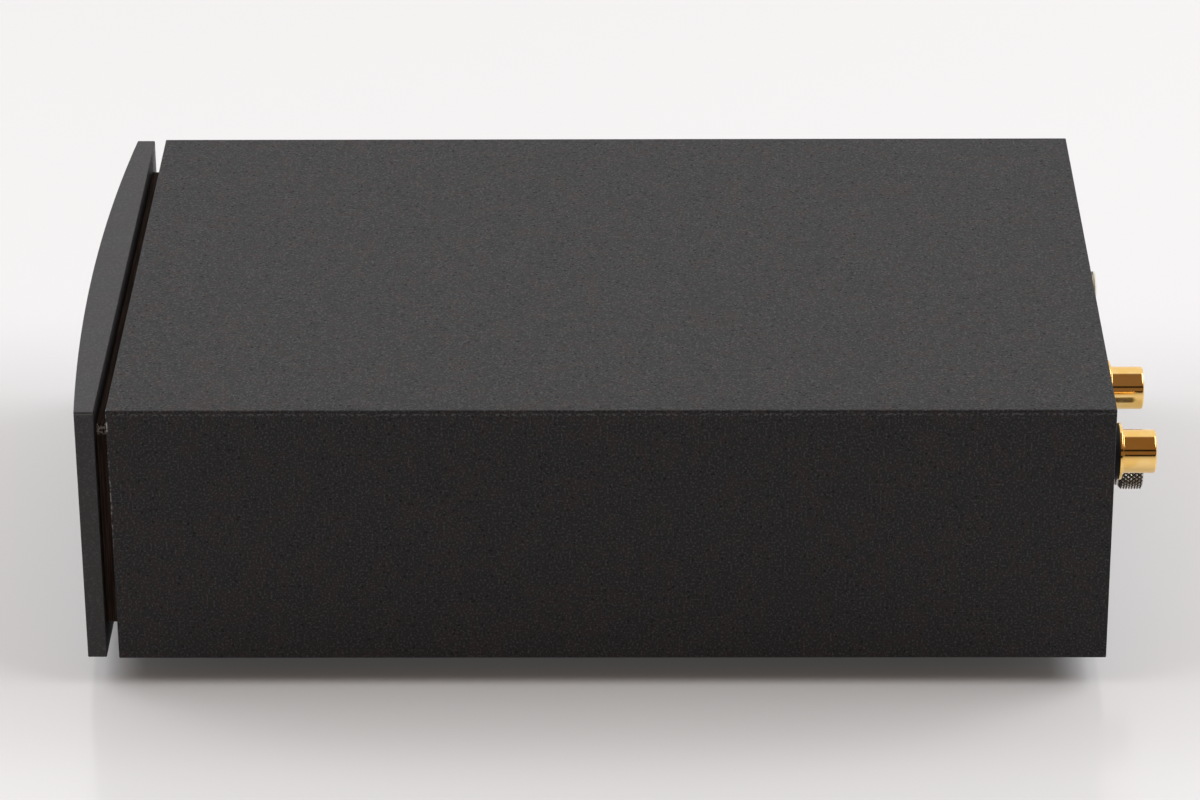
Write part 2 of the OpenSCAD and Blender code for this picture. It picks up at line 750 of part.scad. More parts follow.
// A capacitor can: a sleeve with a rolled waist, and a rim round its top
module can(d, h) {
    r = d / 2;
    rotate_extrude()
        polygon([[0, 0], [r - 0.4, 0], [r, 0.5], [r, h * 0.08], [r - 0.35, h * 0.11],
                 [r, h * 0.14], [r, h - 0.6], [r - 0.6, h], [r - 1.2, h],
                 [r - 1.4, h - 0.3], [0, h - 0.3]]);
}

module reservoir_capacitors() {
    color([0.13, 0.13, 0.18])
    for (place = reservoir_places) on_board_top(place) can(reservoir_d, reservoir_h);
}

module coupling_capacitors() {
    color([0.08, 0.22, 0.45])
    for (place = coupling_places) on_board_top(place) can(coupling_d, coupling_h);
}

module film_capacitors() {
    color([0.62, 0.12, 0.10])
    for (place = film_places)
        on_board_top(place)
            translate([-film_l / 2, -film_t / 2, 0]) cube([film_l, film_t, film_h]);
}

// Sockets with two rows of contacts, and an open middle
module chip_sockets() {
    rim = 1.8;
    color([0.12, 0.12, 0.12])
    for (place = chip_places)
        on_board_top(place) translate([0, 0, chip_socket_h / 2])
            difference() {
                cube([chip_w + 2 * rim, chip_l + 0.6, chip_socket_h], center = true);
                cube([chip_w - 2, chip_l - 3, chip_socket_h + 1], center = true);
            }
}

// A chip has a half-round notch at one end
module amplifier_chips() {
    notch_r = 1;
    notch_depth = 0.5;
    color([0.16, 0.16, 0.17])
    for (place = chip_places)
        on_board_top(place) translate([0, 0, chip_socket_h])
            difference() {
                translate([-chip_w / 2, -chip_l / 2, 0]) cube([chip_w, chip_l, chip_t]);
                translate([0, chip_l / 2, chip_t - notch_depth]) cylinder(r = notch_r, h = 1);
            }
}

// Resistors lie along X on bent legs, and are a little thicker at their ends
module resistors() {
    waist_r = resistor_d / 2 - 0.2;
    end_r = resistor_d / 2;
    lift = 0.6;
    wire_d = 0.7;
    color([0.45, 0.62, 0.78])
    for (place = resistor_places)
        on_board_top(place) translate([0, 0, lift + end_r]) {
            rotate([0, 90, 0]) rotate_extrude()
                polygon([[0, -resistor_l / 2], [end_r, -resistor_l / 2],
                         [end_r, -resistor_l / 4], [waist_r, -resistor_l / 5],
                         [waist_r, resistor_l / 5], [end_r, resistor_l / 4],
                         [end_r, resistor_l / 2], [0, resistor_l / 2]]);
            for (s = [-1, 1]) {
                translate([s * (resistor_l + resistor_span) / 4, 0, 0])
                    cube([(resistor_span - resistor_l) / 2 + wire_d, wire_d, wire_d],
                         center = true);
                translate([s * resistor_span / 2, 0, -(lift + end_r) / 2])
                    cube([wire_d, wire_d, lift + end_r], center = true);
            }
        }
}

// Three-leg regulators: a moulded block on a metal tab, standing on its legs
module voltage_regulators() {
    block_t = 3.2;
    tab_t = 1.3;
    tab_hole_d = 3.6;
    leg_pitch = 2.54;
    reg_leg = [1, 0.6];
    color([0.22, 0.22, 0.23])
    for (place = regulator_places)
        on_board_top(place) {
            translate([-regulator_w / 2, 1 - block_t, regulator_leg_h])
                cube([regulator_w, block_t, regulator_block_h]);
            difference() {
                translate([-regulator_w / 2, 1, regulator_leg_h])
                    cube([regulator_w, tab_t, regulator_tab_h]);
                translate([0, 0, regulator_leg_h + regulator_tab_h - tab_hole_d])
                    rotate([-90, 0, 0]) cylinder(d = tab_hole_d, h = tab_t + 2);
            }
            for (i = [-1 : 1])
                translate([i * leg_pitch - reg_leg[0] / 2, -1, 0])
                    cube([reg_leg[0], reg_leg[1], regulator_leg_h + 1]);
        }
}

module wire_headers() {
    color("ivory") {
        header(input_header, 4);
        header(power_header, 2);
        header(lamp_header, 2);
    }
}

// A wire header for a number of leads in a row along X
module header(spot, leads) {
    translate([spot[0] - (leads + 1) * header_pitch / 2, spot[1] - header_w / 2, board_top])
        cube([(leads + 1) * header_pitch, header_w, header_h]);
}

// ---- sockets ----

// The barrel's wall from a depth to its rounded end, as a half section
module barrel_section(from, end) {
    r = barrel_d / 2;
    inner = barrel_bore_d / 2;
    translate([inner, from]) square([r - inner, end - barrel_edge_r - from]);
    translate([inner, from]) square([r - inner - barrel_edge_r, end - from]);
    intersection() {
        translate([r - barrel_edge_r, end - barrel_edge_r]) circle(r = barrel_edge_r);
        translate([inner, from]) square([r, end]);
    }
}

// One turned piece: flange, step and barrel outside, threaded bushing inside
module input_shell(axis) {
    color([0.85, 0.62, 0.22])
    at_rear(axis) rotate_extrude($fn = 96) {
        barrel_section(flange_y, input_end);
        translate([barrel_bore_d / 2, flange_y])
            square([(flange_d - barrel_bore_d) / 2, flange_t]);
        translate([barrel_bore_d / 2, flange_y])
            square([(step_d - barrel_bore_d) / 2, flange_t + step_t]);
        translate([barrel_bore_d / 2, -bushing_l])
            square([(bushing_d - barrel_bore_d) / 2, bushing_l + flange_y + flange_t]);
    }
}

// A plastic washer whose shoulder keeps the bushing clear of the panel
module input_washer(axis) {
    color([0.07, 0.07, 0.07])
    at_rear(axis) {
        ring(outer_washer_d, bushing_d + 2 * seat_c, 0, outer_washer_t);
        ring(input_hole_d - 2 * seat_c, bushing_d + 2 * seat_c, -tray_t + seat_c, 1);
    }
}

module input_inner_washer(axis) {
    color([0.07, 0.07, 0.07])
    at_rear(axis) ring(inner_washer_d, bushing_d + 2 * seat_c, -inner_stack, -tray_t);
}

module tag(outer_d, hole_d, a, b) {
    difference() {
        union() {
            translate([0, 0, a]) cylinder(d = outer_d, h = b - a);
            translate([-tag_tail_w / 2, outer_d / 2 - 1, a])
                cube([tag_tail_w, tag_tail_l + 1, b - a]);
        }
        translate([0, 0, a - 1]) cylinder(d = hole_d, h = b - a + 2);
    }
}

module input_tag(axis) {
    color("goldenrod")
    at_rear(axis) tag(inner_washer_d - 1, bushing_d + 2 * seat_c, -nut_stack, -inner_stack);
}

module input_nut(axis) {
    color([0.85, 0.62, 0.22])
    at_rear(axis)
        hex_nut(socket_nut_af, bushing_d + 2 * seat_c, -nut_stack - socket_nut_t, -nut_stack);
}

module socket_core(axis, from, end) {
    color("whitesmoke")
    at_rear(axis) ring(core_d, contact_d + 2 * seat_c, from, end - core_recess);
}

// The centre contact: a tube for the plug's pin, solid behind it
module contact(from, end) {
    face = end - core_recess;
    difference() {
        translate([0, 0, from]) cylinder(d = contact_d, h = face - from);
        translate([0, 0, face - plug_pin_depth])
            cylinder(d = plug_pin_d, h = plug_pin_depth + 1);
    }
}

module input_contact(axis) {
    color([0.85, 0.62, 0.22])
    at_rear(axis) contact(-bushing_l - contact_tail, input_end);
}

// Where the sockets' leads start, behind the panel
function contact_end_y() = panel_rear_y - bushing_l - contact_tail;
function tag_face_y() = panel_rear_y - nut_stack;

module input_leads() {
    color([0.25, 0.25, 0.27])
    for (s = [[input_left, 1], [input_right, -1]]) {
        lead([s[0][0], contact_end_y(), s[0][1]], [0, -lead_pull, 0],
             [input_header[0] + s[1] * 1.5 * header_pitch, input_header[1],
              board_top + header_h], [0, 0, lead_pull]);
        lead([s[0][0], tag_face_y(), s[0][1] - inner_washer_d / 2 - tag_tail_l * 0.6],
             [0, -lead_pull, 0],
             [input_header[0] + s[1] * 0.5 * header_pitch, input_header[1],
              board_top + header_h], [0, 0, lead_pull]);
    }
}

// ---- output sockets, moulded for the board's edge ----

function leg_shell_y() = panel_rear_y - housing_front - leg_inset;
function leg_contact_y() = panel_rear_y - housing_back - leg_t / 2;

module output_housing(axis) {
    color([0.06, 0.06, 0.06])
    difference() {
        translate([axis[0], panel_rear_y - housing_front, board_top])
            rotate([90, 0, 0]) linear_extrude(housing_l)
                polygon([[-housing_w / 2, 0], [housing_w / 2, 0],
                         [housing_w / 2, housing_h - housing_chamfer],
                         [housing_w / 2 - housing_chamfer, housing_h],
                         [-housing_w / 2 + housing_chamfer, housing_h],
                         [-housing_w / 2, housing_h - housing_chamfer]]);
        at_rear(axis) {
            ring(shoulder_d + 2 * seat_c, 0, -barrel_back, 0);
            ring(contact_d + 2 * seat_c, 0, -housing_back - 1, 0);
        }
        translate([axis[0], leg_shell_y(), board_top])
            cube([leg_w + 2 * pass_c, leg_t + 2 * pass_c, 2 * output_axis_h], center = true);
    }
}

module output_shell(axis) {
    color([0.85, 0.62, 0.22]) {
        difference() {
            union() {
                at_rear(axis) rotate_extrude($fn = 96) {
                    barrel_section(-barrel_back, output_end);
                    translate([barrel_bore_d / 2, -barrel_back])
                        square([(shoulder_d - barrel_bore_d) / 2,
                                barrel_back + shoulder_out]);
                }
                translate([axis[0] - leg_w / 2, leg_shell_y() - leg_t / 2,
                           board_z - leg_below])
                    cube([leg_w, leg_t, axis[1] - shoulder_d / 2 + 0.6
                          - board_z + leg_below]);
            }
            at_rear(axis) ring(barrel_bore_d, 0, -housing_back, output_end);
        }
    }
}

module output_contact(axis) {
    color([0.85, 0.62, 0.22]) {
        at_rear(axis) contact(-housing_back - leg_t, output_end);
        translate([axis[0] - leg_w / 2, leg_contact_y() - leg_t / 2, board_z - leg_below])
            cube([leg_w, leg_t, axis[1] - board_z + leg_below]);
    }
}

// ---- ground terminal ----

// A hexagon-headed stud pushed through from inside the tray
module ground_stud() {
    color("silver")
    at_rear(ground) {
        hex_nut(stud_hex_af, 0, -tray_t - tag_t - stud_head_t, -tray_t - tag_t);
        ring(stud_d, 0, -tray_t - tag_t - 1, stud_end - 0.4);
        translate([0, 0, stud_end - 0.4])
            cylinder(d1 = stud_d, d2 = stud_d - 0.8, h = 0.4);
    }
}

module ground_lock_washer() {
    color("silver")
    at_rear(ground) ring(stud_hex_af + 0.6, stud_d + 2 * pass_c, 0, lock_washer_t);
}

module ground_fixed_nut() {
    color("silver")
    at_rear(ground)
        hex_nut(stud_hex_af, stud_d + 2 * seat_c, fixed_nut_y, fixed_nut_y + fixed_nut_t);
}

module ground_tag() {
    color("goldenrod")
    at_rear(ground) tag(ground_tag_d, stud_d + 2 * pass_c, -tray_t - tag_t, -tray_t);
}

module ground_washer() {
    color("silver")
    at_rear(ground)
        ring(clamp_washer_d, stud_d + 2 * pass_c, clamp_washer_y,
             clamp_washer_y + clamp_washer_t);
}

// A diamond knurl: rows of points and hollows alternate round the nut and along it,
// and each cell of the grid folds along the hollow between its two points. Plain
// rings of the end faces' size close it at both ends.
module knurled_body(l) {
    columns = 2 * knurl_count;
    steps = 2 * knurl_rows;
    pitch = (l - thumb_chamfer_in - thumb_chamfer_out) / steps;
    rows = steps + 2;
    levels = concat([0], [for (i = [0 : steps]) thumb_chamfer_in + i * pitch], [l]);
    function radius(i, j) = (i == 0 || i == rows) ? thumb_face_d / 2
        : thumb_d / 2 - ((i + j) % 2 == 0 ? 0 : knurl_depth);
    points = [for (i = [0 : rows], j = [0 : columns - 1])
        let (a = 360 * j / columns, r = radius(i, j))
        [r * cos(a), r * sin(a), levels[i]]];
    cells = [for (i = [0 : rows - 1], j = [0 : columns - 1])
        let (a = i * columns + j,
             b = i * columns + (j + 1) % columns,
             c = b + columns,
             d = a + columns)
        each ((i + j) % 2 == 0 ? [[a, d, b], [b, d, c]] : [[a, c, b], [a, d, c]])];
    near_end = [for (j = [0 : columns - 1]) j];
    far_end = [for (j = [columns - 1 : -1 : 0]) rows * columns + j];
    polyhedron(points, concat(cells, [near_end], [far_end]), convexity = 4);
}

module ground_thumb_nut() {
    color([0.72, 0.70, 0.66])
    at_rear(ground)
        difference() {
            translate([0, 0, thumb_y]) knurled_body(thumb_l);
            translate([0, 0, thumb_y - 1])
                cylinder(d = stud_d + 2 * seat_c, h = thumb_l + 2);
        }
}

module ground_lead() {
    color([0.15, 0.45, 0.20])
    lead([ground[0], panel_rear_y - tray_t - tag_t,
          ground[1] - ground_tag_d / 2 - tag_tail_l * 0.6], [0, -lead_pull / 2, 0],
         [ground[0], input_header[1] + header_w / 2 + lead_landing, board_top], [0, 0, lead_pull / 2]);
}

// ---- power inlet ----

module inlet_bushing() {
    color([0.86, 0.84, 0.78])
    at_rear(inlet)
        ring(inlet_bushing_d, inlet_bore_d, -tray_t, rear_inset + inlet_reach);
}

// The moulded body behind the panel: the plug's opening runs on into it
module inlet_body() {
    color([0.08, 0.08, 0.08])
    at_rear(inlet)
        difference() {
            ring(inlet_body_d, 0, -tray_t - inlet_body_l, -tray_t);
            ring(inlet_bore_d, 0, inlet_floor_y, 1);
            ring(inlet_root_d + 2 * seat_c, 0, -tray_t - inlet_body_l - 1, 1);
        }
}

module inlet_washer() {
    color([0.86, 0.84, 0.78])
    at_rear(inlet) ring(inlet_washer_d, inlet_bushing_d + 2 * seat_c, 0, inlet_washer_t);
}

module inlet_nut() {
    color([0.86, 0.84, 0.78])
    at_rear(inlet) hex_nut(inlet_nut_af, inlet_bushing_d + 2 * seat_c, inlet_washer_t,
                           inlet_washer_t + inlet_nut_t);
}

module inlet_pin() {
    tip = rear_inset + inlet_reach - inlet_pin_recess;
    color([0.86, 0.84, 0.78])
    at_rear(inlet) {
        ring(inlet_pin_d, 0, inlet_floor_y, tip - inlet_pin_d / 2);
        translate([0, 0, tip - inlet_pin_d / 2]) sphere(d = inlet_pin_d);
        ring(inlet_root_d, 0, -tray_t - inlet_body_l, inlet_floor_y);
        ring(inlet_root_d + 1, 0, -tray_t - inlet_body_l - 1, -tray_t - inlet_body_l);
    }
}

module inlet_leads() {
    back_y = panel_rear_y - tray_t - inlet_body_l;
    color("firebrick")
    for (s = [[0, -0.5, 1], [inlet_body_d / 2 - 1.5, 0.5, 0]])
        lead([inlet[0] + s[0], back_y - s[2], inlet[1]], [0, -lead_pull, 0],
             [power_header[0] + s[1] * header_pitch, power_header[1], board_top + header_h],
             [0, 0, lead_pull]);
}

// ---- the assembly ----

enclosure_tube();
fascia();
fascia_spacer();
fascia_screws();
chassis_tray();
rear_panel();
clinch_nuts();
feet();
foot_screws();
light_pipe();
lamp_holder();
power_lamp();
lamp_leads();
circuit_board();
board_standoffs();
board_screws();
reservoir_capacitors();
coupling_capacitors();
film_capacitors();
amplifier_chips();
chip_sockets();
resistors();
voltage_regulators();
wire_headers();
input_shell(input_left);  // input_left_shell
input_washer(input_left);  // input_left_washer
input_inner_washer(input_left);  // input_left_inner_washer
input_tag(input_left);  // input_left_tag
input_nut(input_left);  // input_left_nut
socket_core(input_left, -bushing_l, input_end);  // input_left_core
input_contact(input_left);  // input_left_contact
input_shell(input_right);  // input_right_shell
input_washer(input_right);  // input_right_washer
input_inner_washer(input_right);  // input_right_inner_washer
input_tag(input_right);  // input_right_tag
input_nut(input_right);  // input_right_nut
socket_core(input_right, -bushing_l, input_end);  // input_right_core
input_contact(input_right);  // input_right_contact
input_leads();
output_housing(output_left);  // output_left_housing
output_shell(output_left);  // output_left_shell
socket_core(output_left, -barrel_back, output_end);  // output_left_core
output_contact(output_left);  // output_left_contact
output_housing(output_right);  // output_right_housing
output_shell(output_right);  // output_right_shell
socket_core(output_right, -barrel_back, output_end);  // output_right_core
output_contact(output_right);  // output_right_contact
ground_stud();
ground_lock_washer();
ground_fixed_nut();
ground_tag();
ground_washer();
ground_thumb_nut();
ground_lead();
inlet_body();
inlet_bushing();
inlet_washer();
inlet_nut();
inlet_pin();
inlet_leads();
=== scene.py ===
import json
import math

import bmesh
import bpy
import numpy as np
from mathutils import Matrix, Vector


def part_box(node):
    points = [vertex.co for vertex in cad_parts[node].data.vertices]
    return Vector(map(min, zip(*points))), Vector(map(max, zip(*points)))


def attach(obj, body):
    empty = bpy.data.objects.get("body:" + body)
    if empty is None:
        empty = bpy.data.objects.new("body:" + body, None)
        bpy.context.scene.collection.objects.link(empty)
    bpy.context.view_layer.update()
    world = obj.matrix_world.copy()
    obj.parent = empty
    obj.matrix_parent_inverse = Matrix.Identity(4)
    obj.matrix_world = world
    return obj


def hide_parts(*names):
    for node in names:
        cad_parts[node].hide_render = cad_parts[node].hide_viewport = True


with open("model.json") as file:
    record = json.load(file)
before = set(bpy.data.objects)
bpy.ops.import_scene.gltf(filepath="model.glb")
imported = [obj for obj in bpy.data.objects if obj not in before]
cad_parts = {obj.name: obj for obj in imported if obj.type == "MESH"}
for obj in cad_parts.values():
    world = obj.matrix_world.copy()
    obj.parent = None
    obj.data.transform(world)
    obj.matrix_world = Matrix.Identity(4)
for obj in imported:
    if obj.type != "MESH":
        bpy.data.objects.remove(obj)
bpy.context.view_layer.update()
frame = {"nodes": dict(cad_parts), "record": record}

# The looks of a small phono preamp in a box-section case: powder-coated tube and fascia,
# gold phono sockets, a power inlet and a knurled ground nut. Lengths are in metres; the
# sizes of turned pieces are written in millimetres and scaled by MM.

MM = 0.001
CLOSED = 0.001      # the radius in mm that stands for 0 where a turned piece closes
TURN = 2 * math.pi


# ---------------------------------------------------------------- materials

class Wire:
    """A node's output. Arithmetic on outputs that are numbers adds Math nodes."""

    def __init__(self, look, socket):
        self.look, self.socket = look, socket

    def _math(self, operation, *values):
        return self.look.node("ShaderNodeMath", {"operation": operation},
                              dict(enumerate(values)))

    def __add__(self, other):
        return self._math("ADD", self, other)

    def __sub__(self, other):
        return self._math("SUBTRACT", self, other)

    def __rsub__(self, other):
        return self._math("SUBTRACT", other, self)

    def __mul__(self, other):
        return self._math("MULTIPLY", self, other)

    def __truediv__(self, other):
        return self._math("DIVIDE", self, other)

    def __rtruediv__(self, other):
        return self._math("DIVIDE", other, self)

    def __pow__(self, other):
        return self._math("POWER", self, other)

    def __abs__(self):
        return self._math("ABSOLUTE", self)

    __radd__ = __add__
    __rmul__ = __mul__

    def under(self, limit, soft):
        """1 where the value is well under the limit, 0 where it is over, soft between."""
        return self.look.node("ShaderNodeMapRange", {"interpolation_type": "SMOOTHSTEP"},
                              {"Value": self, "From Min": limit - soft, "From Max": limit,
                               "To Min": 1.0, "To Max": 0.0})

    def over(self, limit, soft):
        """1 where the value is well over the limit, 0 where it is under, soft between."""
        return self.look.node("ShaderNodeMapRange", {"interpolation_type": "SMOOTHSTEP"},
                              {"Value": self, "From Min": limit, "From Max": limit + soft,
                               "To Min": 0.0, "To Max": 1.0})


class Look:
    """A material, or the studio's sky, being wired up. Patterns on a material read Object
    coordinates, in metres."""

    def __init__(self, owner, place="Object"):
        self.owner = owner
        owner.use_nodes = True
        self.tree = owner.node_tree
        self.tree.nodes.clear()
        self.place = self.node("ShaderNodeTexCoord", {}, {}, place)

    def node(self, kind, settings, values, output=0):
        """Adds a node: first its settings, then the values or links of its sockets. The
        stops of a ramp are places and colours; it has two of them to begin with."""
        made = self.tree.nodes.new(kind)
        for key, value in settings.items():
            if key == "stops":
                ramp = made.color_ramp
                for at, _ in value[2:]:
                    ramp.elements.new(at)
                for element, (at, colour) in zip(ramp.elements, sorted(value)):
                    element.position, element.color = at, colour
            else:
                setattr(made, key, value)
        for key, value in values.items():
            if isinstance(value, Wire):
                self.tree.links.new(value.socket, made.inputs[key])
            else:
                made.inputs[key].default_value = value
        return Wire(self, made.outputs[output]) if made.outputs else None

    def axes(self, names="XYZ"):
        """The point's coordinates of those names, each as a wire."""
        return [self.node("ShaderNodeSeparateXYZ", {}, {"Vector": self.place}, axis)
                for axis in names]

    def noise(self, size, detail=2.0, stretch=(1, 1, 1), shift=0.0, roughness=0.5):
        """Noise whose blotches are about size metres across, longer where stretch is over 1."""
        there = self.node("ShaderNodeMapping", {},
                          {"Vector": self.place, "Location": (shift, shift * 0.7, shift * 1.3),
                           "Scale": tuple(1 / s for s in stretch)})
        return self.node("ShaderNodeTexNoise", {},
                         {"Vector": there, "Scale": 1 / size, "Detail": detail,
                          "Roughness": roughness}, "Fac")

    def cells(self, size, shift=0.0):
        """Distance to the nearest of many scattered points, about size metres apart."""
        there = self.node("ShaderNodeMapping", {},
                          {"Vector": self.place, "Location": (shift, shift, shift)})
        return self.node("ShaderNodeTexVoronoi", {"feature": "F1"},
                         {"Vector": there, "Scale": 1 / size}, "Distance")

    def mix(self, share, first, second):
        """A colour between two colours. The Mix node numbers its sockets: 0 is the share,
        6 and 7 are the colours, and 2 is the mixed colour."""
        return self.node("ShaderNodeMix", {"data_type": "RGBA", "blend_type": "MIX"},
                         {0: share, 6: first, 7: second}, 2)

    def limit(self, value):
        """The value kept between 0 and 1."""
        return self.node("ShaderNodeClamp", {}, {"Value": value})

    def bump(self, height, distance, strength):
        """A normal from a height of 0 to 1 that stands for distance metres."""
        return self.node("ShaderNodeBump", {},
                         {"Height": height, "Distance": distance, "Strength": strength})

    def finish(self, **values):
        """Ends in a Principled shader: names with _ for spaces, numbers on its own sockets."""
        shader = self.node("ShaderNodeBsdfPrincipled", {},
                           {key.replace("_", " "): value for key, value in values.items()})
        self.node("ShaderNodeOutputMaterial", {}, {"Surface": shader})
        return self.owner


def look_for(name):
    """A new material, ready to be wired up."""
    return Look(bpy.data.materials.new(name))


def grey(level, warm=0.0):
    """A grey of that level, a little warmer or cooler."""
    return (level * (1 + warm), level, level * (1 - warm), 1.0)


def powder_coat():
    """Black powder coat: a sandy skin with small pits and pale flecks, warm and cool patches,
    a painted highlight as a broken pale row under the tube's near long edge, and on its near
    front corner knocked bare metal, with the edge's highlight and the metal's glint painted in."""
    look = look_for("powder_coat")
    x, y, z = look.axes()
    low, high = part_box("enclosure_tube")
    sand = look.noise(0.00042, 3.0, roughness=0.6)
    lumps = look.noise(0.0009, 1.0, shift=0.3)
    pits = look.cells(0.0016, shift=0.1).under(0.20, 0.08)
    patches = look.noise(0.0022, 2.0, shift=0.8)
    warm = look.noise(0.0075, 2.0, shift=0.4)
    colour = look.mix(patches.over(0.44, 0.14) * warm.over(0.38, 0.2),
                      (0.0088, 0.0093, 0.0097, 1), (0.0165, 0.0098, 0.0103, 1))
    flecks = sand.over(0.52, 0.12)
    colour = look.mix(flecks * 0.8, colour, (0.060, 0.059, 0.062, 1))
    colour = look.mix(pits * 0.8, colour, (0.004, 0.004, 0.004, 1))
    row_depth, wear_and_highlight_from, worn_glint_depth = 0.00085, 0.02, 0.0034
    broken = look.noise(0.0005, 1.0, (1, 1.5, 1), 0.9).over(0.5, 0.08)
    row = abs(high.z - z - row_depth).under(0.0003, 0.00015) * broken
    near_side = x.over(high.x - 0.0002, 0.0001)
    # painted highlight: a broken pale row on the near side, just under the top edge
    colour = look.mix(row * near_side * 0.7, colour, (0.085, 0.085, 0.088, 1))
    corner = abs(y - low.y).under(0.00038, 0.00022) * x.over(high.x - 0.0006, 0.0002)
    spots = look.noise(0.0007, 2.0, (1, 1, 1.3), 0.5)
    wear_and_highlight = spots.over(0.52, 0.07) * z.over(low.z + wear_and_highlight_from, 0.012)
    worn_glint = spots.over(0.42, 0.08) * abs(high.z - worn_glint_depth - z).under(0.0013, 0.0005)
    # worn bare metal on the near front edge, with a painted highlight along the edge and painted
    # glints on the worn spots, in pale grey
    colour = look.mix(look.limit(wear_and_highlight * 0.5 + worn_glint) * corner, colour, (0.36, 0.36, 0.37, 1))
    skin = look.bump(sand * 0.7 + lumps * 0.5 - pits * 0.6, 0.00012, 0.6)
    return look.finish(Base_Color=colour, Roughness=lumps * 0.14 + pits * 0.2 + 0.46,
                       Specular_IOR_Level=0.27, Normal=skin)


def fascia_coat():
    """The fascia's own powder coat: finer, smoother and a little paler than the tube's, with
    a painted highlight, a pale line along the upper edge of its ends."""
    look = look_for("fascia_coat")
    x, z = look.axes("XZ")
    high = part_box("fascia")[1]
    sand = look.noise(0.0004, 3.0, roughness=0.6)
    wide = look.noise(0.006, 2.0, shift=0.4)
    colour = look.mix(wide.over(0.40, 0.2),
                      (0.0165, 0.0160, 0.0168, 1), (0.0205, 0.0175, 0.0182, 1))
    colour = look.mix(sand.over(0.50, 0.13) * 0.7, colour, (0.050, 0.049, 0.051, 1))
    line_depth = 0.00042
    line = abs(high.z - line_depth - z).under(0.0002, 0.0001)
    line = line * abs(x).over(high.x - 0.0003, 0.0001)
    # painted highlight: a pale line along the upper edge of the fascia's ends
    colour = look.mix(line * 0.6, colour, (0.10, 0.10, 0.105, 1))
    return look.finish(Base_Color=colour, Roughness=wide * 0.10 + 0.46, Specular_IOR_Level=0.43,
                       Normal=look.bump(sand, 0.00008, 0.6))


def satin_paint():
    """Smooth satin black paint on sheet steel, with a faint orange peel."""
    look = look_for("black_panel")
    peel = look.noise(0.0012, 1.0)
    dust = look.noise(0.004, 3.0, shift=0.4)
    colour = look.mix(dust.over(0.5, 0.2), grey(0.012), grey(0.016, 0.02))
    return look.finish(Base_Color=colour, Roughness=dust * 0.10 + 0.33,
                       Specular_IOR_Level=0.5, Normal=look.bump(peel, 0.00003, 0.5))


def brown_board():
    """Dark brown laminated board: thin layers across its thickness, short fibres, and pale
    torn ones at the upper corners of its ends."""
    look = look_for("spacer_board")
    layers = look.noise(0.0004, 2.0, (30, 1, 30))
    fibres = look.noise(0.0005, 3.0, (4, 1, 1), 0.6)
    colour = look.mix(layers.over(0.4, 0.25), (0.032, 0.017, 0.011, 1), (0.10, 0.058, 0.041, 1))
    colour = look.mix(fibres.over(0.55, 0.15) * 0.4, colour, (0.09, 0.060, 0.045, 1))
    x, z = look.axes("XZ")
    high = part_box("fascia_spacer")[1]
    torn_in, torn_down = 0.0008, 0.0022
    torn = abs(x).over(high.x - torn_in, 0.0003) * (high.z - z).under(torn_down, 0.0008)
    colour = look.mix(torn * fibres.over(0.45, 0.1) * 0.9, colour, (0.62, 0.57, 0.54, 1))
    return look.finish(Base_Color=colour, Roughness=fibres * 0.2 + 0.7,
                       Specular_IOR_Level=0.3,
                       Normal=look.bump(layers + fibres * 0.5, 0.00005, 0.5))


def turned_metal(name, pale, deep, rough):
    """Plated metal turned on a lathe: hair lines run round the Y axis, the plating's colour
    drifts a little, and faint smears change its gloss."""
    look = look_for(name)
    lines = look.noise(0.00008, 2.0, (60, 1, 60))
    smear = look.noise(0.0022, 3.0, shift=0.7)
    drift = look.noise(0.005, 2.0, shift=0.2)
    colour = look.mix(drift.over(0.38, 0.24), pale, deep)
    return look.finish(Base_Color=colour, Metallic=1.0,
                       Roughness=smear * 0.06 + lines * 0.04 + rough,
                       Normal=look.bump(lines, 0.000004, 0.5))


def knurled_nickel():
    """Nickel as on the other ground pieces, with painted shade in the knurl's grooves:
    darker and duller the nearer a point of the rim is to the nut's axis."""
    look = look_for("knurled_nickel")
    x, y, z = look.axes()
    low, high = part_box("ground_thumb_nut")
    groove_floor, face_radius, end_skin = 0.00435, 0.0040, 0.00015
    out = ((x - (low.x + high.x) / 2) ** 2 + (z - (low.z + high.z) / 2) ** 2) ** 0.5
    rim = out.over(groove_floor, 0.00030)
    ends = (y - low.y).under(end_skin, 0.0001) + (high.y - y).under(end_skin, 0.0001)
    unshaded = look.limit(rim + look.limit(ends) + out.under(face_radius, 0.0002))
    smear = look.noise(0.0015, 3.0, shift=0.7)
    # painted shade: the grooves are dark brown, while the rim, the end faces and the dished face
    # stay plain nickel
    colour = look.mix(unshaded, (0.09, 0.075, 0.06, 1), (0.74, 0.70, 0.64, 1))
    return look.finish(Base_Color=colour, Metallic=unshaded * 0.5 + 0.5,
                       Roughness=0.55 - unshaded * 0.33 + smear * 0.08,
                       Normal=look.bump(look.noise(0.0002, 2.0), 0.000004, 0.5))


def moulded(name, colour, rough, grain=0.0004, depth=0.00002, drift=0.12, **more):
    """Moulded plastic or rubber: a fine grain, and a gloss and colour that drift a little."""
    look = look_for(name)
    skin = look.noise(grain, 2.0)
    wide = look.noise(0.003, 2.0, shift=0.5)
    darker = tuple(c * (1 - drift) for c in colour[:3]) + (1.0,)
    return look.finish(Base_Color=look.mix(wide.over(0.4, 0.2), darker, colour),
                       Roughness=wide * 0.12 + rough, Normal=look.bump(skin, depth, 0.6), **more)


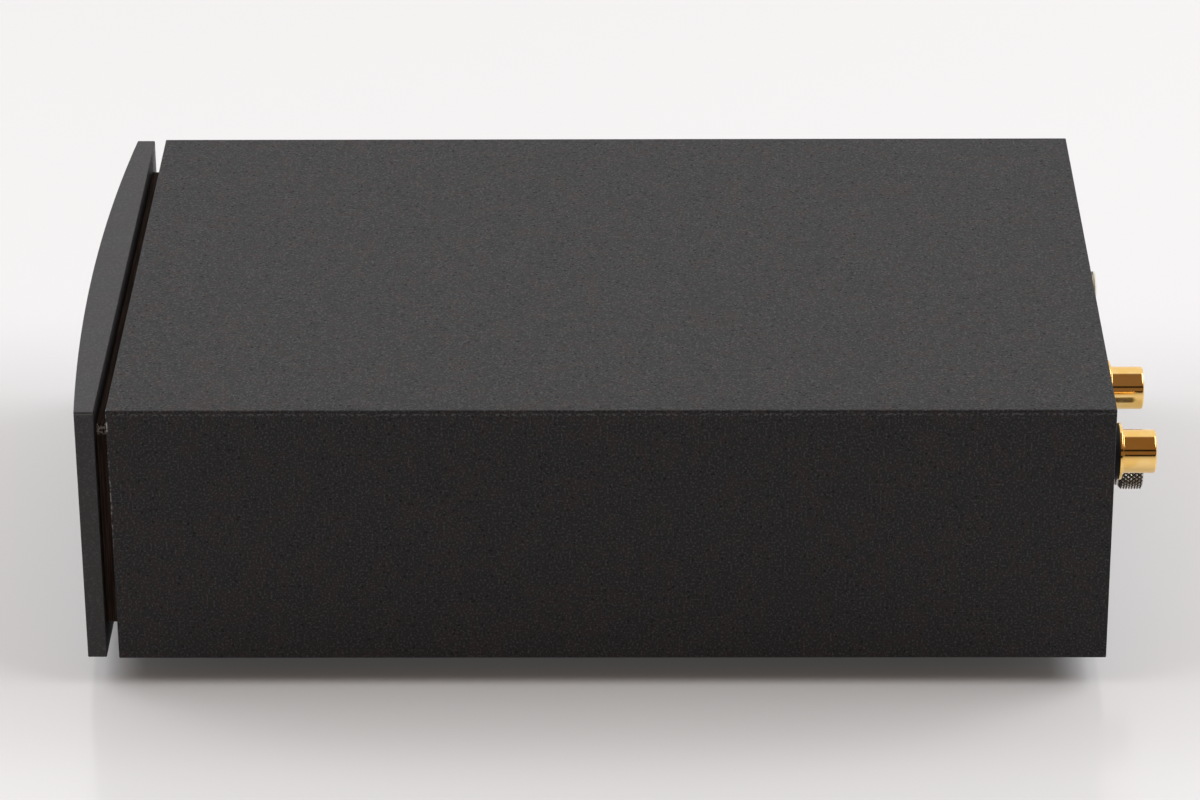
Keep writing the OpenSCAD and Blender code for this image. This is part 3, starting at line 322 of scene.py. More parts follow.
def circuit_green():
    """Solder mask over copper tracks: the tracks run along and across as pale bands."""
    look = look_for("board_green")
    along = look.noise(0.0016, 0.0, (1, 40, 1)).over(0.52, 0.02)
    across = look.noise(0.0022, 0.0, (40, 1, 1), 0.6).over(0.56, 0.02)
    glass = look.noise(0.0005, 1.0, (1, 6, 1), 0.2)
    colour = look.mix(along * (1 - across) * 0.8,
                      (0.006, 0.075, 0.030, 1), (0.018, 0.16, 0.06, 1))
    colour = look.mix(glass * 0.15, colour, (0.03, 0.12, 0.05, 1))
    return look.finish(Base_Color=colour, Roughness=glass * 0.08 + 0.28, Coat_Weight=0.3,
                       Normal=look.bump(along, 0.00004, 0.5))


def shrink_sleeve():
    """The plastic sleeve of a capacitor: dark and smooth, with the pale metal top of the
    tall ones."""
    look = look_for("can_sleeve")
    [z] = look.axes("Z")
    wide = look.noise(0.004, 2.0)
    colour = look.mix(wide.over(0.4, 0.2), (0.010, 0.012, 0.030, 1), (0.016, 0.018, 0.040, 1))
    top_depth = 0.0002
    top = z.over(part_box("reservoir_capacitors")[1].z - top_depth, 0.0001)
    colour = look.mix(top * 0.85, colour, (0.42, 0.43, 0.45, 1))
    return look.finish(Base_Color=colour, Metallic=top * 0.9, Roughness=wide * 0.1 + 0.26,
                       Normal=look.bump(wide, 0.0001, 0.3))


def resistor_lacquer():
    """Pale blue lacquer with plain coloured bands round the body, and tinned ends."""
    look = look_for("resistor_lacquer")
    [x] = look.axes("X")
    half_span, half_body = 0.00545, 0.0032
    lacquer, band = (0.30, 0.48, 0.62, 1), (0.35, 0.05, 0.02, 1)
    across = abs(abs(x) - (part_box("resistors")[1].x - half_span))
    skin = look.noise(0.0008, 2.0)
    bands = look.node("ShaderNodeValToRGB", {"stops": [
        (0.0, lacquer), (0.10, lacquer), (0.12, band), (0.24, band), (0.26, lacquer),
        (0.98, lacquer)]}, {"Fac": across / half_body}, "Color")
    metal = across.over(half_body, 0.0001)
    colour = look.mix(metal, bands, (0.55, 0.55, 0.56, 1))
    return look.finish(Base_Color=colour, Metallic=metal, Roughness=skin * 0.15 + 0.30,
                       Normal=look.bump(skin, 0.00005, 0.4))


def clear_acrylic():
    """Clear polished rod with faint turning rings."""
    look = look_for("clear_acrylic")
    lines = look.noise(0.0002, 1.0, (30, 1, 30))
    colour = look.mix(lines * 0.2, (0.93, 0.96, 1.0, 1), (0.80, 0.88, 0.95, 1))
    return look.finish(Base_Color=colour,
                       Roughness=lines * 0.06 + 0.08, Transmission_Weight=0.75, IOR=1.49,
                       Normal=look.bump(lines, 0.000006, 0.4))


finishes = {
    "powder_coat": powder_coat(),
    "fascia_coat": fascia_coat(),
    "black_panel": satin_paint(),
    "spacer_board": brown_board(),
    "gold": turned_metal("gold", (0.99, 0.68, 0.27, 1), (0.95, 0.60, 0.18, 1), 0.035),
    "nickel": turned_metal("nickel", (0.66, 0.63, 0.58, 1), (0.58, 0.55, 0.50, 1), 0.24),
    "knurled_nickel": knurled_nickel(),
    "inlet_nickel": turned_metal("inlet_nickel", (0.80, 0.76, 0.66, 1),
                                 (0.70, 0.66, 0.57, 1), 0.26),
    "bright_steel": turned_metal("bright_steel", (0.62, 0.63, 0.64, 1),
                                 (0.52, 0.52, 0.50, 1), 0.28),
    "black_plastic": moulded("black_plastic", (0.006, 0.006, 0.006, 1), 0.55,
                             Specular_IOR_Level=0.2),
    "core_plastic": moulded("core_plastic", (0.78, 0.77, 0.73, 1), 0.34, drift=0.05,
                            Subsurface_Weight=0.2, Subsurface_Scale=0.001),
    "rubber": moulded("rubber", (0.020, 0.020, 0.020, 1), 0.62, 0.0006, 0.00004),
    "clear_acrylic": clear_acrylic(),
    "lamp_plastic": moulded("lamp_plastic", (0.45, 0.66, 0.88, 1), 0.12, drift=0.05,
                            Transmission_Weight=0.6),
    "white_plastic": moulded("white_plastic", (0.72, 0.70, 0.64, 1), 0.36, drift=0.05),
    "red_insulation": moulded("red_insulation", (0.45, 0.03, 0.02, 1), 0.40),
    "grey_insulation": moulded("grey_insulation", (0.05, 0.05, 0.055, 1), 0.42),
    "green_insulation": moulded("green_insulation", (0.03, 0.20, 0.06, 1), 0.40),
    "board_green": circuit_green(),
    "can_sleeve": shrink_sleeve(),
    "film_box": moulded("film_box", (0.40, 0.05, 0.035, 1), 0.30),
    "chip_black": moulded("chip_black", (0.022, 0.022, 0.024, 1), 0.48, 0.0002),
    "resistor_lacquer": resistor_lacquer(),
}

slot_of = {part["node"]: part["material_slot"] for part in frame["record"]["subparts"]}
for name, thing in frame["nodes"].items():
    thing.data.materials.clear()
    thing.data.materials.append(finishes[slot_of[name]])


# ---------------------------------------------------------------- shapes

def rounded(corners, radii, steps, lead=0.04):
    """A closed polygon with its corners rounded. At a corner with half its inner angle h,
    the arc of radius r touches both sides r / tan(h) away, its centre lies r / sin(h) away
    on the bisector, and its points turn evenly from one touching point to the other. A
    leading point on each side, a little further out, keeps the flats flat."""
    side_share, lead_share = 0.45, 1.05
    p = np.asarray(corners, float)
    r = np.broadcast_to(np.asarray(radii, float), len(p)).copy()
    back, ahead = np.roll(p, 1, 0) - p, np.roll(p, -1, 0) - p
    room = side_share * np.minimum(np.hypot(*back.T), np.hypot(*ahead.T))
    a = back / np.hypot(*back.T)[:, None]
    b = ahead / np.hypot(*ahead.T)[:, None]
    half = 0.5 * np.arccos(np.clip((a * b).sum(1), -1, 1))
    touch = np.minimum(r / np.tan(half), room)
    r = touch * np.tan(half)
    bisector = (a + b) / np.hypot(*(a + b).T)[:, None]
    centre = p + bisector * (r / np.sin(half))[:, None]
    sweep = (math.pi - 2 * half)[:, None, None]
    s = np.linspace(0, 1, steps + 1)[None, :, None]
    first = (p + a * touch[:, None] - centre)[:, None]
    last = (p + b * touch[:, None] - centre)[:, None]
    spread = np.sin((1 - s) * sweep) * first + np.sin(s * sweep) * last
    arc = centre[:, None] + spread / np.sin(sweep)
    lead = np.minimum(touch + lead, lead_share * room)[:, None]
    ring = np.concatenate([(p + a * lead)[:, None], arc, (p + b * lead)[:, None]], 1)
    return ring.reshape(-1, 2)


def along_y(axis, r, turn, depth):
    """Points at radius r and angle turn round an axis [x, z] along Y, at a depth in mm
    from the rear panel's outer face."""
    return np.stack(np.broadcast_arrays(axis[0] + r * MM * np.sin(turn), panel_y + depth * MM,
                                        axis[1] + r * MM * np.cos(turn)), -1)


def along_z(spot, r, turn, height):
    """Points at radius r and angle turn round an upright axis, at a height in mm."""
    return np.stack(np.broadcast_arrays(spot[0] + r * MM * np.cos(turn),
                                        spot[1] + r * MM * np.sin(turn), height * MM), -1)


def net(grid, rows_close=True, columns_close=True):
    """The points of a grid, and its quads: each joins a point to the next in its row and to
    the two above them. Rows or columns that close run on into the first."""
    rows, columns = grid.shape[:2]
    i = np.arange(rows if rows_close else rows - 1)[:, None]
    j = np.arange(columns if columns_close else columns - 1)[None, :]
    i2, j2 = (i + 1) % rows, (j + 1) % columns
    quads = np.stack([i * columns + j, i * columns + j2, i2 * columns + j2, i2 * columns + j], -1)
    return grid.reshape(-1, 3), quads.reshape(-1, 4)


def turned(profile, place, spot, around, arc=TURN):
    """A closed profile of (radius, depth) swept round its axis: every point of it runs
    through the angles of the arc. A part turn is closed by its two end faces."""
    full = arc > TURN - 1e-6
    turn = np.linspace(0, arc, around, endpoint=not full)
    grid = place(spot, profile[:, :1], turn[None, :], profile[:, 1:])
    if full:
        return net(grid)
    points, quads = net(grid, True, False)
    first = np.arange(len(profile)) * around
    return points, quads, [first, first[::-1] + around - 1]


def piece(name, shells, node, body="case", sharp=40, finish=None):
    """Puts shells of points and quads into one mesh, merges doubles, turns the faces
    outwards, and shades it smooth except across edges sharper than that angle."""
    points = np.concatenate([shell[0] for shell in shells])
    starts = np.cumsum([0] + [len(shell[0]) for shell in shells])
    faces = []
    for start, shell in zip(starts, shells):
        faces += (shell[1] + start).tolist()
        for cap in (shell[2] if len(shell) > 2 else []):
            faces.append((cap + start).tolist())
    mesh = bpy.data.meshes.new(name)
    mesh.from_pydata(points.tolist(), [], faces)
    tidy = bmesh.new()
    tidy.from_mesh(mesh)
    bmesh.ops.remove_doubles(tidy, verts=tidy.verts, dist=1e-7)
    bmesh.ops.dissolve_degenerate(tidy, edges=tidy.edges, dist=1e-8)
    bmesh.ops.recalc_face_normals(tidy, faces=tidy.faces)
    tidy.to_mesh(mesh)
    tidy.free()
    mesh.polygons.foreach_set("use_smooth", np.ones(len(mesh.polygons), bool))
    mesh.set_sharp_from_angle(angle=math.radians(sharp))
    made = bpy.data.objects.new(name, mesh)
    bpy.context.scene.collection.objects.link(made)
    mesh.materials.append(finishes[finish or slot_of[node]])
    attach(made, body)
    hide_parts(node)


panel_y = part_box("rear_panel")[1].y


def axis_of(node):
    """The [x, z] of a turned node's axis, from the middle of its box."""
    low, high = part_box(node)
    return (low.x + high.x) / 2, (low.z + high.z) / 2


def depths_of(node):
    """How deep a node starts and ends, in mm from the rear panel's outer face."""
    low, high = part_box(node)
    return (low.y - panel_y) / MM, (high.y - panel_y) / MM


# -- tube and fascia

def outline(half_w, half_h, radius, fill):
    """A rounded rectangle's points, its sides filled with evenly spaced ones and one near
    each end. The three lengths may be arrays, which give one outline for each value."""
    near_end = 0.002
    half_w, half_h, radius = np.broadcast_arrays(*[np.atleast_1d(np.asarray(v, float))
                                                   for v in (half_w, half_h, radius)])
    a = np.linspace(0, math.pi / 2, 7)
    quarter = math.pi / 2 * np.arange(4)
    sx, sz = np.array([1, -1, -1, 1]), np.array([1, 1, -1, -1])
    cx = (half_w - radius)[:, None, None] * sx[None, :, None]
    cz = (half_h - radius)[:, None, None] * sz[None, :, None]
    arc = (quarter[:, None] + a[None, :])[None]
    x = cx + radius[:, None, None] * np.cos(arc)
    z = cz + radius[:, None, None] * np.sin(arc)
    s = np.concatenate([[near_end], np.linspace(0, 1, fill + 2)[1:-1], [1 - near_end]])
    rings = []
    for v in (x, z):
        last, following = v[:, :, -1:], np.roll(v, -1, 1)[:, :, :1]
        ring = np.concatenate([v, last + (following - last) * s], 2)
        rings.append(ring.reshape(len(half_w), -1))
    return rings


def edge(radius, steps=4):
    """How far in and how far along an edge's rounding goes, from the end face to the side:
    (r (1 - sin a), r (1 - cos a)) for a from 0 to a quarter turn."""
    a = np.linspace(0, math.pi / 2, steps + 1)
    return radius * (1 - np.sin(a)), radius * (1 - np.cos(a))


def case_tube():
    """The tube's wall as a loop: along the outside, round the rear edge, across the end
    face, back along the inside and round the front. Each step of the loop is a rounded
    rectangle, inset from the outer one and placed along Y."""
    low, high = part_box("enclosure_tube")
    half_w, half_h = (high.x - low.x) / 2, (high.z - low.z) / 2
    wall, corner, soft, inner = 3.2 * MM, 0.35 * MM, 0.2 * MM, 0.12 * MM
    into, along = edge(soft)
    into_b, along_b = edge(inner)
    lead, least = 0.3 * MM, 0.08 * MM
    inset = np.concatenate([into[::-1], [lead + soft], [wall - inner - lead], wall - into_b,
                            [wall], [wall], wall - into_b[::-1], [wall - inner - lead],
                            [lead + soft], into, [0], [0]])
    y = np.concatenate([high.y - along[::-1], [high.y], [high.y], high.y - along_b,
                        [high.y - lead - inner], [low.y + lead + inner], low.y + along_b[::-1],
                        [low.y], [low.y], low.y + along, [low.y + lead + soft],
                        [high.y - lead - soft]])
    radius = np.maximum(corner - inset, least)
    x, z = outline(half_w - inset, half_h - inset, radius, 2)
    grid = np.stack([x, np.broadcast_to(y[:, None], x.shape), z + (low.z + high.z) / 2], -1)
    piece("tube", [net(grid)], "enclosure_tube", sharp=50)


def bowed_fascia():
    """The fascia as a loop round a plate with a hole: back face, back edge, side, front
    edge, front face and the hole's wall. The front lies on a large cylinder,
    y = front + R - sqrt(R^2 - x^2), and the side runs up to it."""
    low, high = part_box("fascia")
    half_w, half_h = (high.x - low.x) / 2, (high.z - low.z) / 2
    bow, corner, soft = 730 * MM, 0.3 * MM, 0.2 * MM
    hole, chamfer, lead, least = 1.55 * MM, 0.15 * MM, 0.3 * MM, 0.1 * MM
    rings, crowding = 26, 1.2
    into, along = edge(soft)
    share = np.linspace(0, 1, rings) ** crowding
    inset = np.concatenate([into, [0], [0], into[::-1], [soft + lead]])
    x, z = outline(half_w - inset, half_h - inset, np.maximum(corner - inset, least), 24)
    front = low.y + bow - np.sqrt(bow ** 2 - x ** 2)
    n = len(along)
    y = np.concatenate([
        np.broadcast_to((high.y - along)[:, None], (n, x.shape[1])),
        np.full((1, x.shape[1]), high.y - soft - lead),
        front[n + 1:n + 2] + soft + lead,
        front[n + 2:2 * n + 2] + along[::-1][:, None],
        front[2 * n + 2:]])
    rim = np.stack([x, y, z], -1)
    angle = np.arctan2(z[-1], x[-1])
    ring = hole * np.stack([np.cos(angle), np.sin(angle)], -1)
    wide = (hole + chamfer) / hole
    face_x = x[-1] + (ring[:, 0] * wide - x[-1]) * share[1:, None]
    face_z = z[-1] + (ring[:, 1] * wide - z[-1]) * share[1:, None]
    face = np.stack([face_x, low.y + bow - np.sqrt(bow ** 2 - face_x ** 2), face_z], -1)
    wall = np.stack([np.stack([ring[:, 0], np.full(len(ring), v), ring[:, 1]], -1)
                     for v in (low.y + chamfer, high.y)])
    back_x = ring[:, 0] + (x[0] - ring[:, 0]) * share[1:-1:4, None]
    back_z = ring[:, 1] + (z[0] - ring[:, 1]) * share[1:-1:4, None]
    back = np.stack([back_x, np.full_like(back_x, high.y), back_z], -1)
    grid = np.concatenate([rim, face, wall, back])
    grid[..., 2] += (low.z + high.z) / 2
    piece("fascia_plate", [net(grid)], "fascia", sharp=50, finish="fascia_coat")


# -- sockets: radii, and depths from the rear panel's outer face, in mm

BORE, BARREL, BUSHING = 3.2, 4.15, 3.9
FLANGE, FLANGE_BACK, FLANGE_FACE = 5.4, 2.75, 3.32
STEP, STEP_FACE = 4.55, 3.65
SHOULDER, SHOULDER_FACE, HOUSING_FLOOR = 4.5, 0.3, -10.8
PIN_HOLE, PIN_HOLE_DEPTH, CONTACT, SLIT_LENGTH = 1.6, 8.5, 2.15, 5


def axis_of_socket(side, role):
    """A socket's axis, from its core, because a shell's legs put its own box off centre."""
    return axis_of(f"{role}_{side}_core")


def socket_shell(side, role):
    """A socket's turned shell, from its half section."""
    node = f"{role}_{side}_shell"
    back, end = depths_of(node)
    if role == "input":
        corners = [(BORE, back), (BUSHING, back), (BUSHING, FLANGE_BACK), (FLANGE, FLANGE_BACK),
                   (FLANGE, FLANGE_FACE), (STEP, FLANGE_FACE), (STEP, STEP_FACE),
                   (BARREL, STEP_FACE), (BARREL, end), (BORE, end)]
        radii = [0.1, 0.2, 0.05, 0.12, 0.16, 0.05, 0.12, 0.05, 0.7, 0.2]
    else:
        corners = [(BORE, HOUSING_FLOOR), (SHOULDER, HOUSING_FLOOR), (SHOULDER, SHOULDER_FACE),
                   (BARREL, SHOULDER_FACE), (BARREL, end), (BORE, end)]
        radii = [0.1, 0.2, 0.12, 0.05, 0.7, 0.2]
    profile = rounded(corners, radii, 6)
    shells = [turned(profile, along_y, axis_of_socket(side, role), 128)]
    piece(f"{role}_{side}_barrel", shells, node)


def socket_core(side, role):
    """The white insulator: a sleeve with a shallow ring moulded in its face."""
    node = f"{role}_{side}_core"
    back, end = depths_of(node)
    hole, ring_in, ring_out, body, groove = 2.2, 2.5, 2.85, 3.15, 0.15
    profile = rounded([(hole, back), (body, back), (body, end), (ring_out, end),
                       (ring_out, end - groove), (ring_in, end - groove), (ring_in, end),
                       (hole, end)],
                      [0, 0, 0.1, 0.05, 0.05, 0.05, 0.05, 0.08], 4)
    piece(f"{role}_{side}_insulator", [turned(profile, along_y, axis_of(node), 72)], node)


def socket_contact(side, role):
    """The centre contact: a tube whose front is slit into four springs, solid behind."""
    node = f"{role}_{side}_contact"
    axis = axis_of_socket(side, role)
    back, end = depths_of(node)
    split, bottom = end - SLIT_LENGTH, end - PIN_HOLE_DEPTH
    tube = rounded([(CLOSED, back), (CONTACT, back), (CONTACT, split), (PIN_HOLE, split),
                    (PIN_HOLE, bottom), (CLOSED, bottom)], [0, 0.2, 0, 0, 0.1, 0], 4)
    leaf = rounded([(PIN_HOLE, split), (CONTACT, split), (CONTACT, end), (PIN_HOLE, end)],
                   [0, 0, 0.12, 0.3], 4)
    shells = [turned(tube, along_y, axis, 64)]
    slit, mean_radius, half_slit_angle = 0.35, 1.9, 0.09
    width = TURN / 4 - slit / mean_radius
    for k in range(4):
        points, quads, caps = turned(leaf, along_y, (0, 0), 14, width)
        a = k * TURN / 4 + math.pi / 4 + half_slit_angle
        x = points[:, 0] * math.cos(a) + points[:, 2] * math.sin(a) + axis[0]
        z = points[:, 2] * math.cos(a) - points[:, 0] * math.sin(a) + axis[1]
        shells.append((np.stack([x, points[:, 1], z], -1), quads, caps))
    piece(f"{role}_{side}_pin_spring", shells, node)


def input_washer(side):
    """The black washer between the flange and the panel, with its shoulder."""
    node = f"input_{side}_washer"
    hole, spigot, outer, spigot_end = 3.95, 4.85, 5.35, -1.45
    profile = rounded([(hole, spigot_end), (spigot, spigot_end), (spigot, 0), (outer, 0),
                       (outer, FLANGE_BACK), (hole, FLANGE_BACK)],
                      [0, 0.1, 0, 0.1, 0.15, 0], 4)
    piece(f"input_{side}_collar", [turned(profile, along_y, axis_of(node), 96)], node)


# -- nuts, threads and washers

def hex_body(across, hole, start, end, axis, turn=0.0):
    """A hexagon nut, or a solid head where the hole is 0. At each angle its radius is the
    smaller of the hexagon's, half the flats over cos(angle from the flat's middle), and a
    cone's, which starts at 0.95 of the flats at the end faces and widens by 1.7 times the
    depth."""
    cone_share, cone_slope, cone_depth, past_cone = 0.95, 1.7, 0.55, 0.6
    mouth, mouth_depth = hole + 0.25, 0.2
    angle = np.linspace(0, TURN, 6 * 24, endpoint=False)
    flat = across / 2 / np.cos((angle + math.pi / 6) % (TURN / 6) - math.pi / 6)
    depth = np.concatenate([[0], np.linspace(0, cone_depth, 10), [past_cone]])
    depth = np.concatenate([depth, end - start - depth[::-1]])
    inward = np.minimum(depth, end - start - depth)
    cone = cone_share * across / 2 + cone_slope * inward
    outer = np.minimum(flat[None, :], cone[:, None])
    if hole:
        rows = np.concatenate([np.full((1, len(angle)), mouth), outer,
                               np.full((1, len(angle)), mouth),
                               np.full((2, len(angle)), hole)])
        depth = np.concatenate([[0], depth, [end - start], [end - start - mouth_depth],
                                [mouth_depth]])
    else:
        rows = np.concatenate([np.full((1, len(angle)), CLOSED), outer,
                               np.full((1, len(angle)), CLOSED)])
        depth = np.concatenate([[0], depth, [end - start]])
    grid = along_y(axis, rows, angle[None, :] + turn, start + depth[:, None])
    return net(grid, bool(hole))


def threaded(radius, pitch, cut, start, end, axis, inner=0.0, chamfer=0.4, around=64):
    """A threaded rod, or a sleeve with that inner radius. A groove climbs one pitch a turn:
    r = R - cut * g, where g is 1.25 |2 frac(depth / pitch - turn / full turn) - 1| - 0.1 kept
    between 0 and 1. It fades out towards the ends, where a chamfer closes it."""
    rows_a_pitch, steepness, crest, runout = 10, 1.25, 0.1, 0.4 * pitch
    angle = np.linspace(0, TURN, around, endpoint=False)
    rows = int((end - start - chamfer) / pitch * rows_a_pitch)
    depth = np.linspace(start, end - chamfer, rows)
    phase = (depth[:, None] / pitch - angle[None, :] / TURN) % 1
    fade_out = np.clip((end - chamfer - depth) / runout, 0, 1)
    fade = np.clip((depth - start) / pitch, 0, 1) * fade_out
    groove = np.clip(np.abs(2 * phase - 1) * steepness - crest, 0, 1)
    r = radius - cut * groove * fade[:, None]
    one = np.ones((1, around))
    if inner:
        r = np.concatenate([r, (radius - chamfer) * one, (inner + 0.1) * one,
                            inner * one, inner * one])
        depth = np.concatenate([depth, [end], [end], [end - 0.1], [start]])
    else:
        r = np.concatenate([CLOSED * one, r, (radius - chamfer) * one,
                            (radius - chamfer - 0.1) * one, CLOSED * one])
        depth = np.concatenate([[start], depth, [end - 0.04], [end], [end]])
    return net(along_y(axis, r, angle[None, :], depth[:, None]), bool(inner))


def knurled_nut():
    """The thumb nut. Two sets of 30 helical grooves cross on its rim: with u and v the turn
    in diamonds plus and minus the depth in rows, the height is the smaller of the distances
    to the nearest groove of each set, cut flat at the top. A cone at each end takes the
    knurl off towards the plain end faces."""
    axis = axis_of("ground_thumb_nut")
    start, end = depths_of("ground_thumb_nut")
    outer, face, cut, count, hole = 4.75, 4.15, 0.48, 30, 2.05
    back_cone, front_cone, rows, flatness = 0.6, 0.3, 3.5, 1.2
    rim, dish, dish_floor, dish_depth, bevel = face - 0.05, 3.4, 3.3, 0.12, 0.3
    deep = end - start
    pitch = (deep - (back_cone + front_cone)) / rows
    angle = np.linspace(0, TURN, count * 18, endpoint=False)
    depth = np.concatenate([np.linspace(0, back_cone, 8)[:-1],
                            np.linspace(back_cone, deep - front_cone, 72),
                            np.linspace(deep - front_cone, deep, 6)[1:]])
    u = angle[None, :] / TURN * count + (depth[:, None] - back_cone) / pitch
    v = angle[None, :] / TURN * count - (depth[:, None] - back_cone) / pitch
    away = np.minimum(1 - 2 * np.abs(u - np.round(u)), 1 - 2 * np.abs(v - np.round(v)))
    height = np.clip(flatness * away, 0, 1)
    cone = np.minimum(face + depth * (outer - face) / back_cone,
                      face + (deep - depth) * (outer - face) / front_cone)
    r = np.minimum(outer - cut * (1 - height), cone[:, None])
    before = np.array([hole + bevel, dish, rim])[:, None]
    after = np.array([rim, dish, dish_floor, hole + bevel, hole, hole])[:, None]
    one = np.ones((1, len(angle)))
    r = np.concatenate([before * one, r, after * one])
    depth = np.concatenate([[0, 0, 0], depth,
                            [deep, deep, deep - dish_depth, deep - dish_depth,
                             deep - (dish_depth + bevel), bevel]])
    grid = along_y(axis, r, angle[None, :], start + depth[:, None])
    piece("thumb_nut_knurled", [net(grid)], "ground_thumb_nut", body="thumb_nut", sharp=30,
          finish="knurled_nickel")


def washer(name, node, axis, hole, outer, soft=0.1, steps=4, around=96, arc=TURN, body="case"):
    """A flat washer as deep as its node, with softened edges. A part turn leaves it split."""
    start, stop = depths_of(node)
    ring = rounded([(hole, start), (outer, start), (outer, stop), (hole, stop)], soft, steps)
    piece(name, [turned(ring, along_y, axis, around, arc)], node, body=body)


def ground_terminal():
    """Stud with its head, lock washer, fixed nut and the loose clamping washer."""
    flats, head_deep, rod_from = 7, 2.8, 1.8
    axis = axis_of("ground_fixed_nut")
    back, end = depths_of("ground_stud")
    head = hex_body(flats, 0, back, back + head_deep, axis)
    rod = threaded(2.0, 0.7, 0.32, back + rod_from, end, axis)
    piece("ground_post", [head, rod], "ground_stud")
    washer("ground_spring_washer", "ground_lock_washer", axis, 2.25, 3.8, soft=0.08, steps=3,
           around=80, arc=TURN * 0.975)
    start, stop = depths_of("ground_fixed_nut")
    piece("ground_lock_nut", [hex_body(flats, 2.05, start, stop, axis, turn=0.2)],
          "ground_fixed_nut")
    washer("ground_clamp_ring", "ground_washer", axis, 2.2, 4, body="clamp_washer")


def power_inlet():
    """Threaded bushing, hexagon nut, washer, and the pin with its round tip."""
    axis = axis_of("inlet_bushing")
    start, stop = depths_of("inlet_bushing")
    piece("inlet_sleeve", [threaded(4.0, 0.75, 0.28, start, stop, axis, inner=2.85,
                                    chamfer=0.3, around=96)], "inlet_bushing")
    start, stop = depths_of("inlet_nut")
    piece("inlet_hexagon", [hex_body(10, 4.05, start, stop, axis, turn=0.12)], "inlet_nut")
    washer("inlet_ring", "inlet_washer", axis, 4.05, 5.4)
    back, tip = depths_of("inlet_pin")
    foot, root, pin, root_end = 1.85, 1.35, 1.05, -5.4
    profile = rounded([(CLOSED, back), (foot, back), (foot, back + 1), (root, back + 1),
                       (root, root_end), (pin, root_end), (pin, tip), (CLOSED, tip)],
                      [0, 0.1, 0.1, 0.05, 0.1, 0.05, 0.95, 0], 8)
    piece("inlet_contact_pin", [turned(profile, along_y, axis, 48)], "inlet_pin")


# -- feet and light pipe

FOOT = 7.5      # a foot's largest radius in mm


def foot_spots():
    """The feet's places, from the corners of the node that holds all four."""
    low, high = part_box("feet")
    half = FOOT * MM
    return [(x, y) for x in (low.x + half, high.x - half) for y in (low.y + half, high.y - half)]


def rubber_feet():
    """Four moulded feet: a tapered ring with a soft rim, and a counterbore for its screw."""
    bore, sole, hole, bore_floor, top = 3.5, 6.25, 1.7, 2.7, 6
    profile = rounded([(bore, 0), (sole, 0), (FOOT, top), (hole, top), (hole, bore_floor),
                       (bore, bore_floor)], [0.3, 0.7, 0.35, 0.05, 0.05, 0.2], 6)
    piece("rubber_feet", [turned(profile, along_z, spot, 72) for spot in foot_spots()], "feet")


def cross_head(spot):
    """A pan-head screw seen from below. Its head is flat out to 1 mm and then rises by 1.1 mm
    with the power 2.4 of the way to its rim. A cross recess is cut in it: the depth falls
    from 1.1 mm in the middle to 0.6 mm at the arms' ends and is full where the nearer of |x|
    and |y| is well under the arms' half width."""
    head, head_face, head_top, shank_r, shank_end = 2.8, 0.72, 2.7, 1.5, 12.9
    half_arm, arm_end, flat, rise = 0.36, 1.6, 1.0, 1.1
    r = np.concatenate([np.linspace(CLOSED, 2.2, 34), np.linspace(2.25, head, 8)])
    angle = np.linspace(0, TURN, 96, endpoint=False)
    x, y = r[:, None] * np.cos(angle), r[:, None] * np.sin(angle)
    near, far = np.minimum(np.abs(x), np.abs(y)), np.maximum(np.abs(x), np.abs(y))
    arm = np.clip((half_arm - near) / 0.12, 0, 1) * np.clip((arm_end - far) / 0.15, 0, 1)
    dome = head_face + rise * np.clip((r[:, None] - flat) / 1.8, 0, 1) ** 2.4
    height = dome + arm * (1.1 - 0.3 * far)
    shank = np.array([(head, head_top), (shank_r, head_top), (shank_r, shank_end),
                      (CLOSED, shank_end)])
    grid = np.concatenate([along_z(spot, r[:, None], angle[None, :], height),
                           along_z(spot, shank[:, :1], angle[None, :], shank[:, 1:])])
    return net(grid, False)


def light_rod():
    """The clear rod of the power light: a collar behind and a slightly domed end in front."""
    low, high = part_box("light_pipe")
    x, z = axis_of("light_pipe")
    front, back = low.y / MM, high.y / MM
    rod, collar, collar_deep, dome_edge = 1.5, 2.5, 1.2, 1.35
    a = np.linspace(0, math.pi / 2, 9)
    dome = np.stack([dome_edge * np.sin(a), front + 0.35 * (1 - np.cos(a))], -1)
    dome[0, 0] = CLOSED
    profile = np.concatenate([dome, [(1.47, front + 0.42), (rod, front + 0.5),
                                     (rod, front + 0.6), (rod, back - collar_deep),
                                     (collar - 0.1, back - collar_deep), (collar, back - 1.1),
                                     (collar, back - 0.1), (collar - 0.1, back),
                                     (CLOSED, back)]])
    turn = np.linspace(0, TURN, 64, endpoint=False)
    r, y = profile[:, :1], profile[:, 1:]
    grid = np.stack(np.broadcast_arrays(x + r * MM * np.sin(turn), y * MM,
                                        z + r * MM * np.cos(turn)), -1)
    piece("light_rod", [net(grid, False)], "light_pipe")


case_tube()
bowed_fascia()
for side in ("left", "right"):
    input_washer(side)
    for role in ("input", "output"):
        socket_shell(side, role)
        socket_core(side, role)
        socket_contact(side, role)
knurled_nut()
ground_terminal()
power_inlet()
rubber_feet()
piece("foot_cross_screws", [cross_head(spot) for spot in foot_spots()], "foot_screws")
light_rod()


# ---------------------------------------------------------------- floor, light and camera

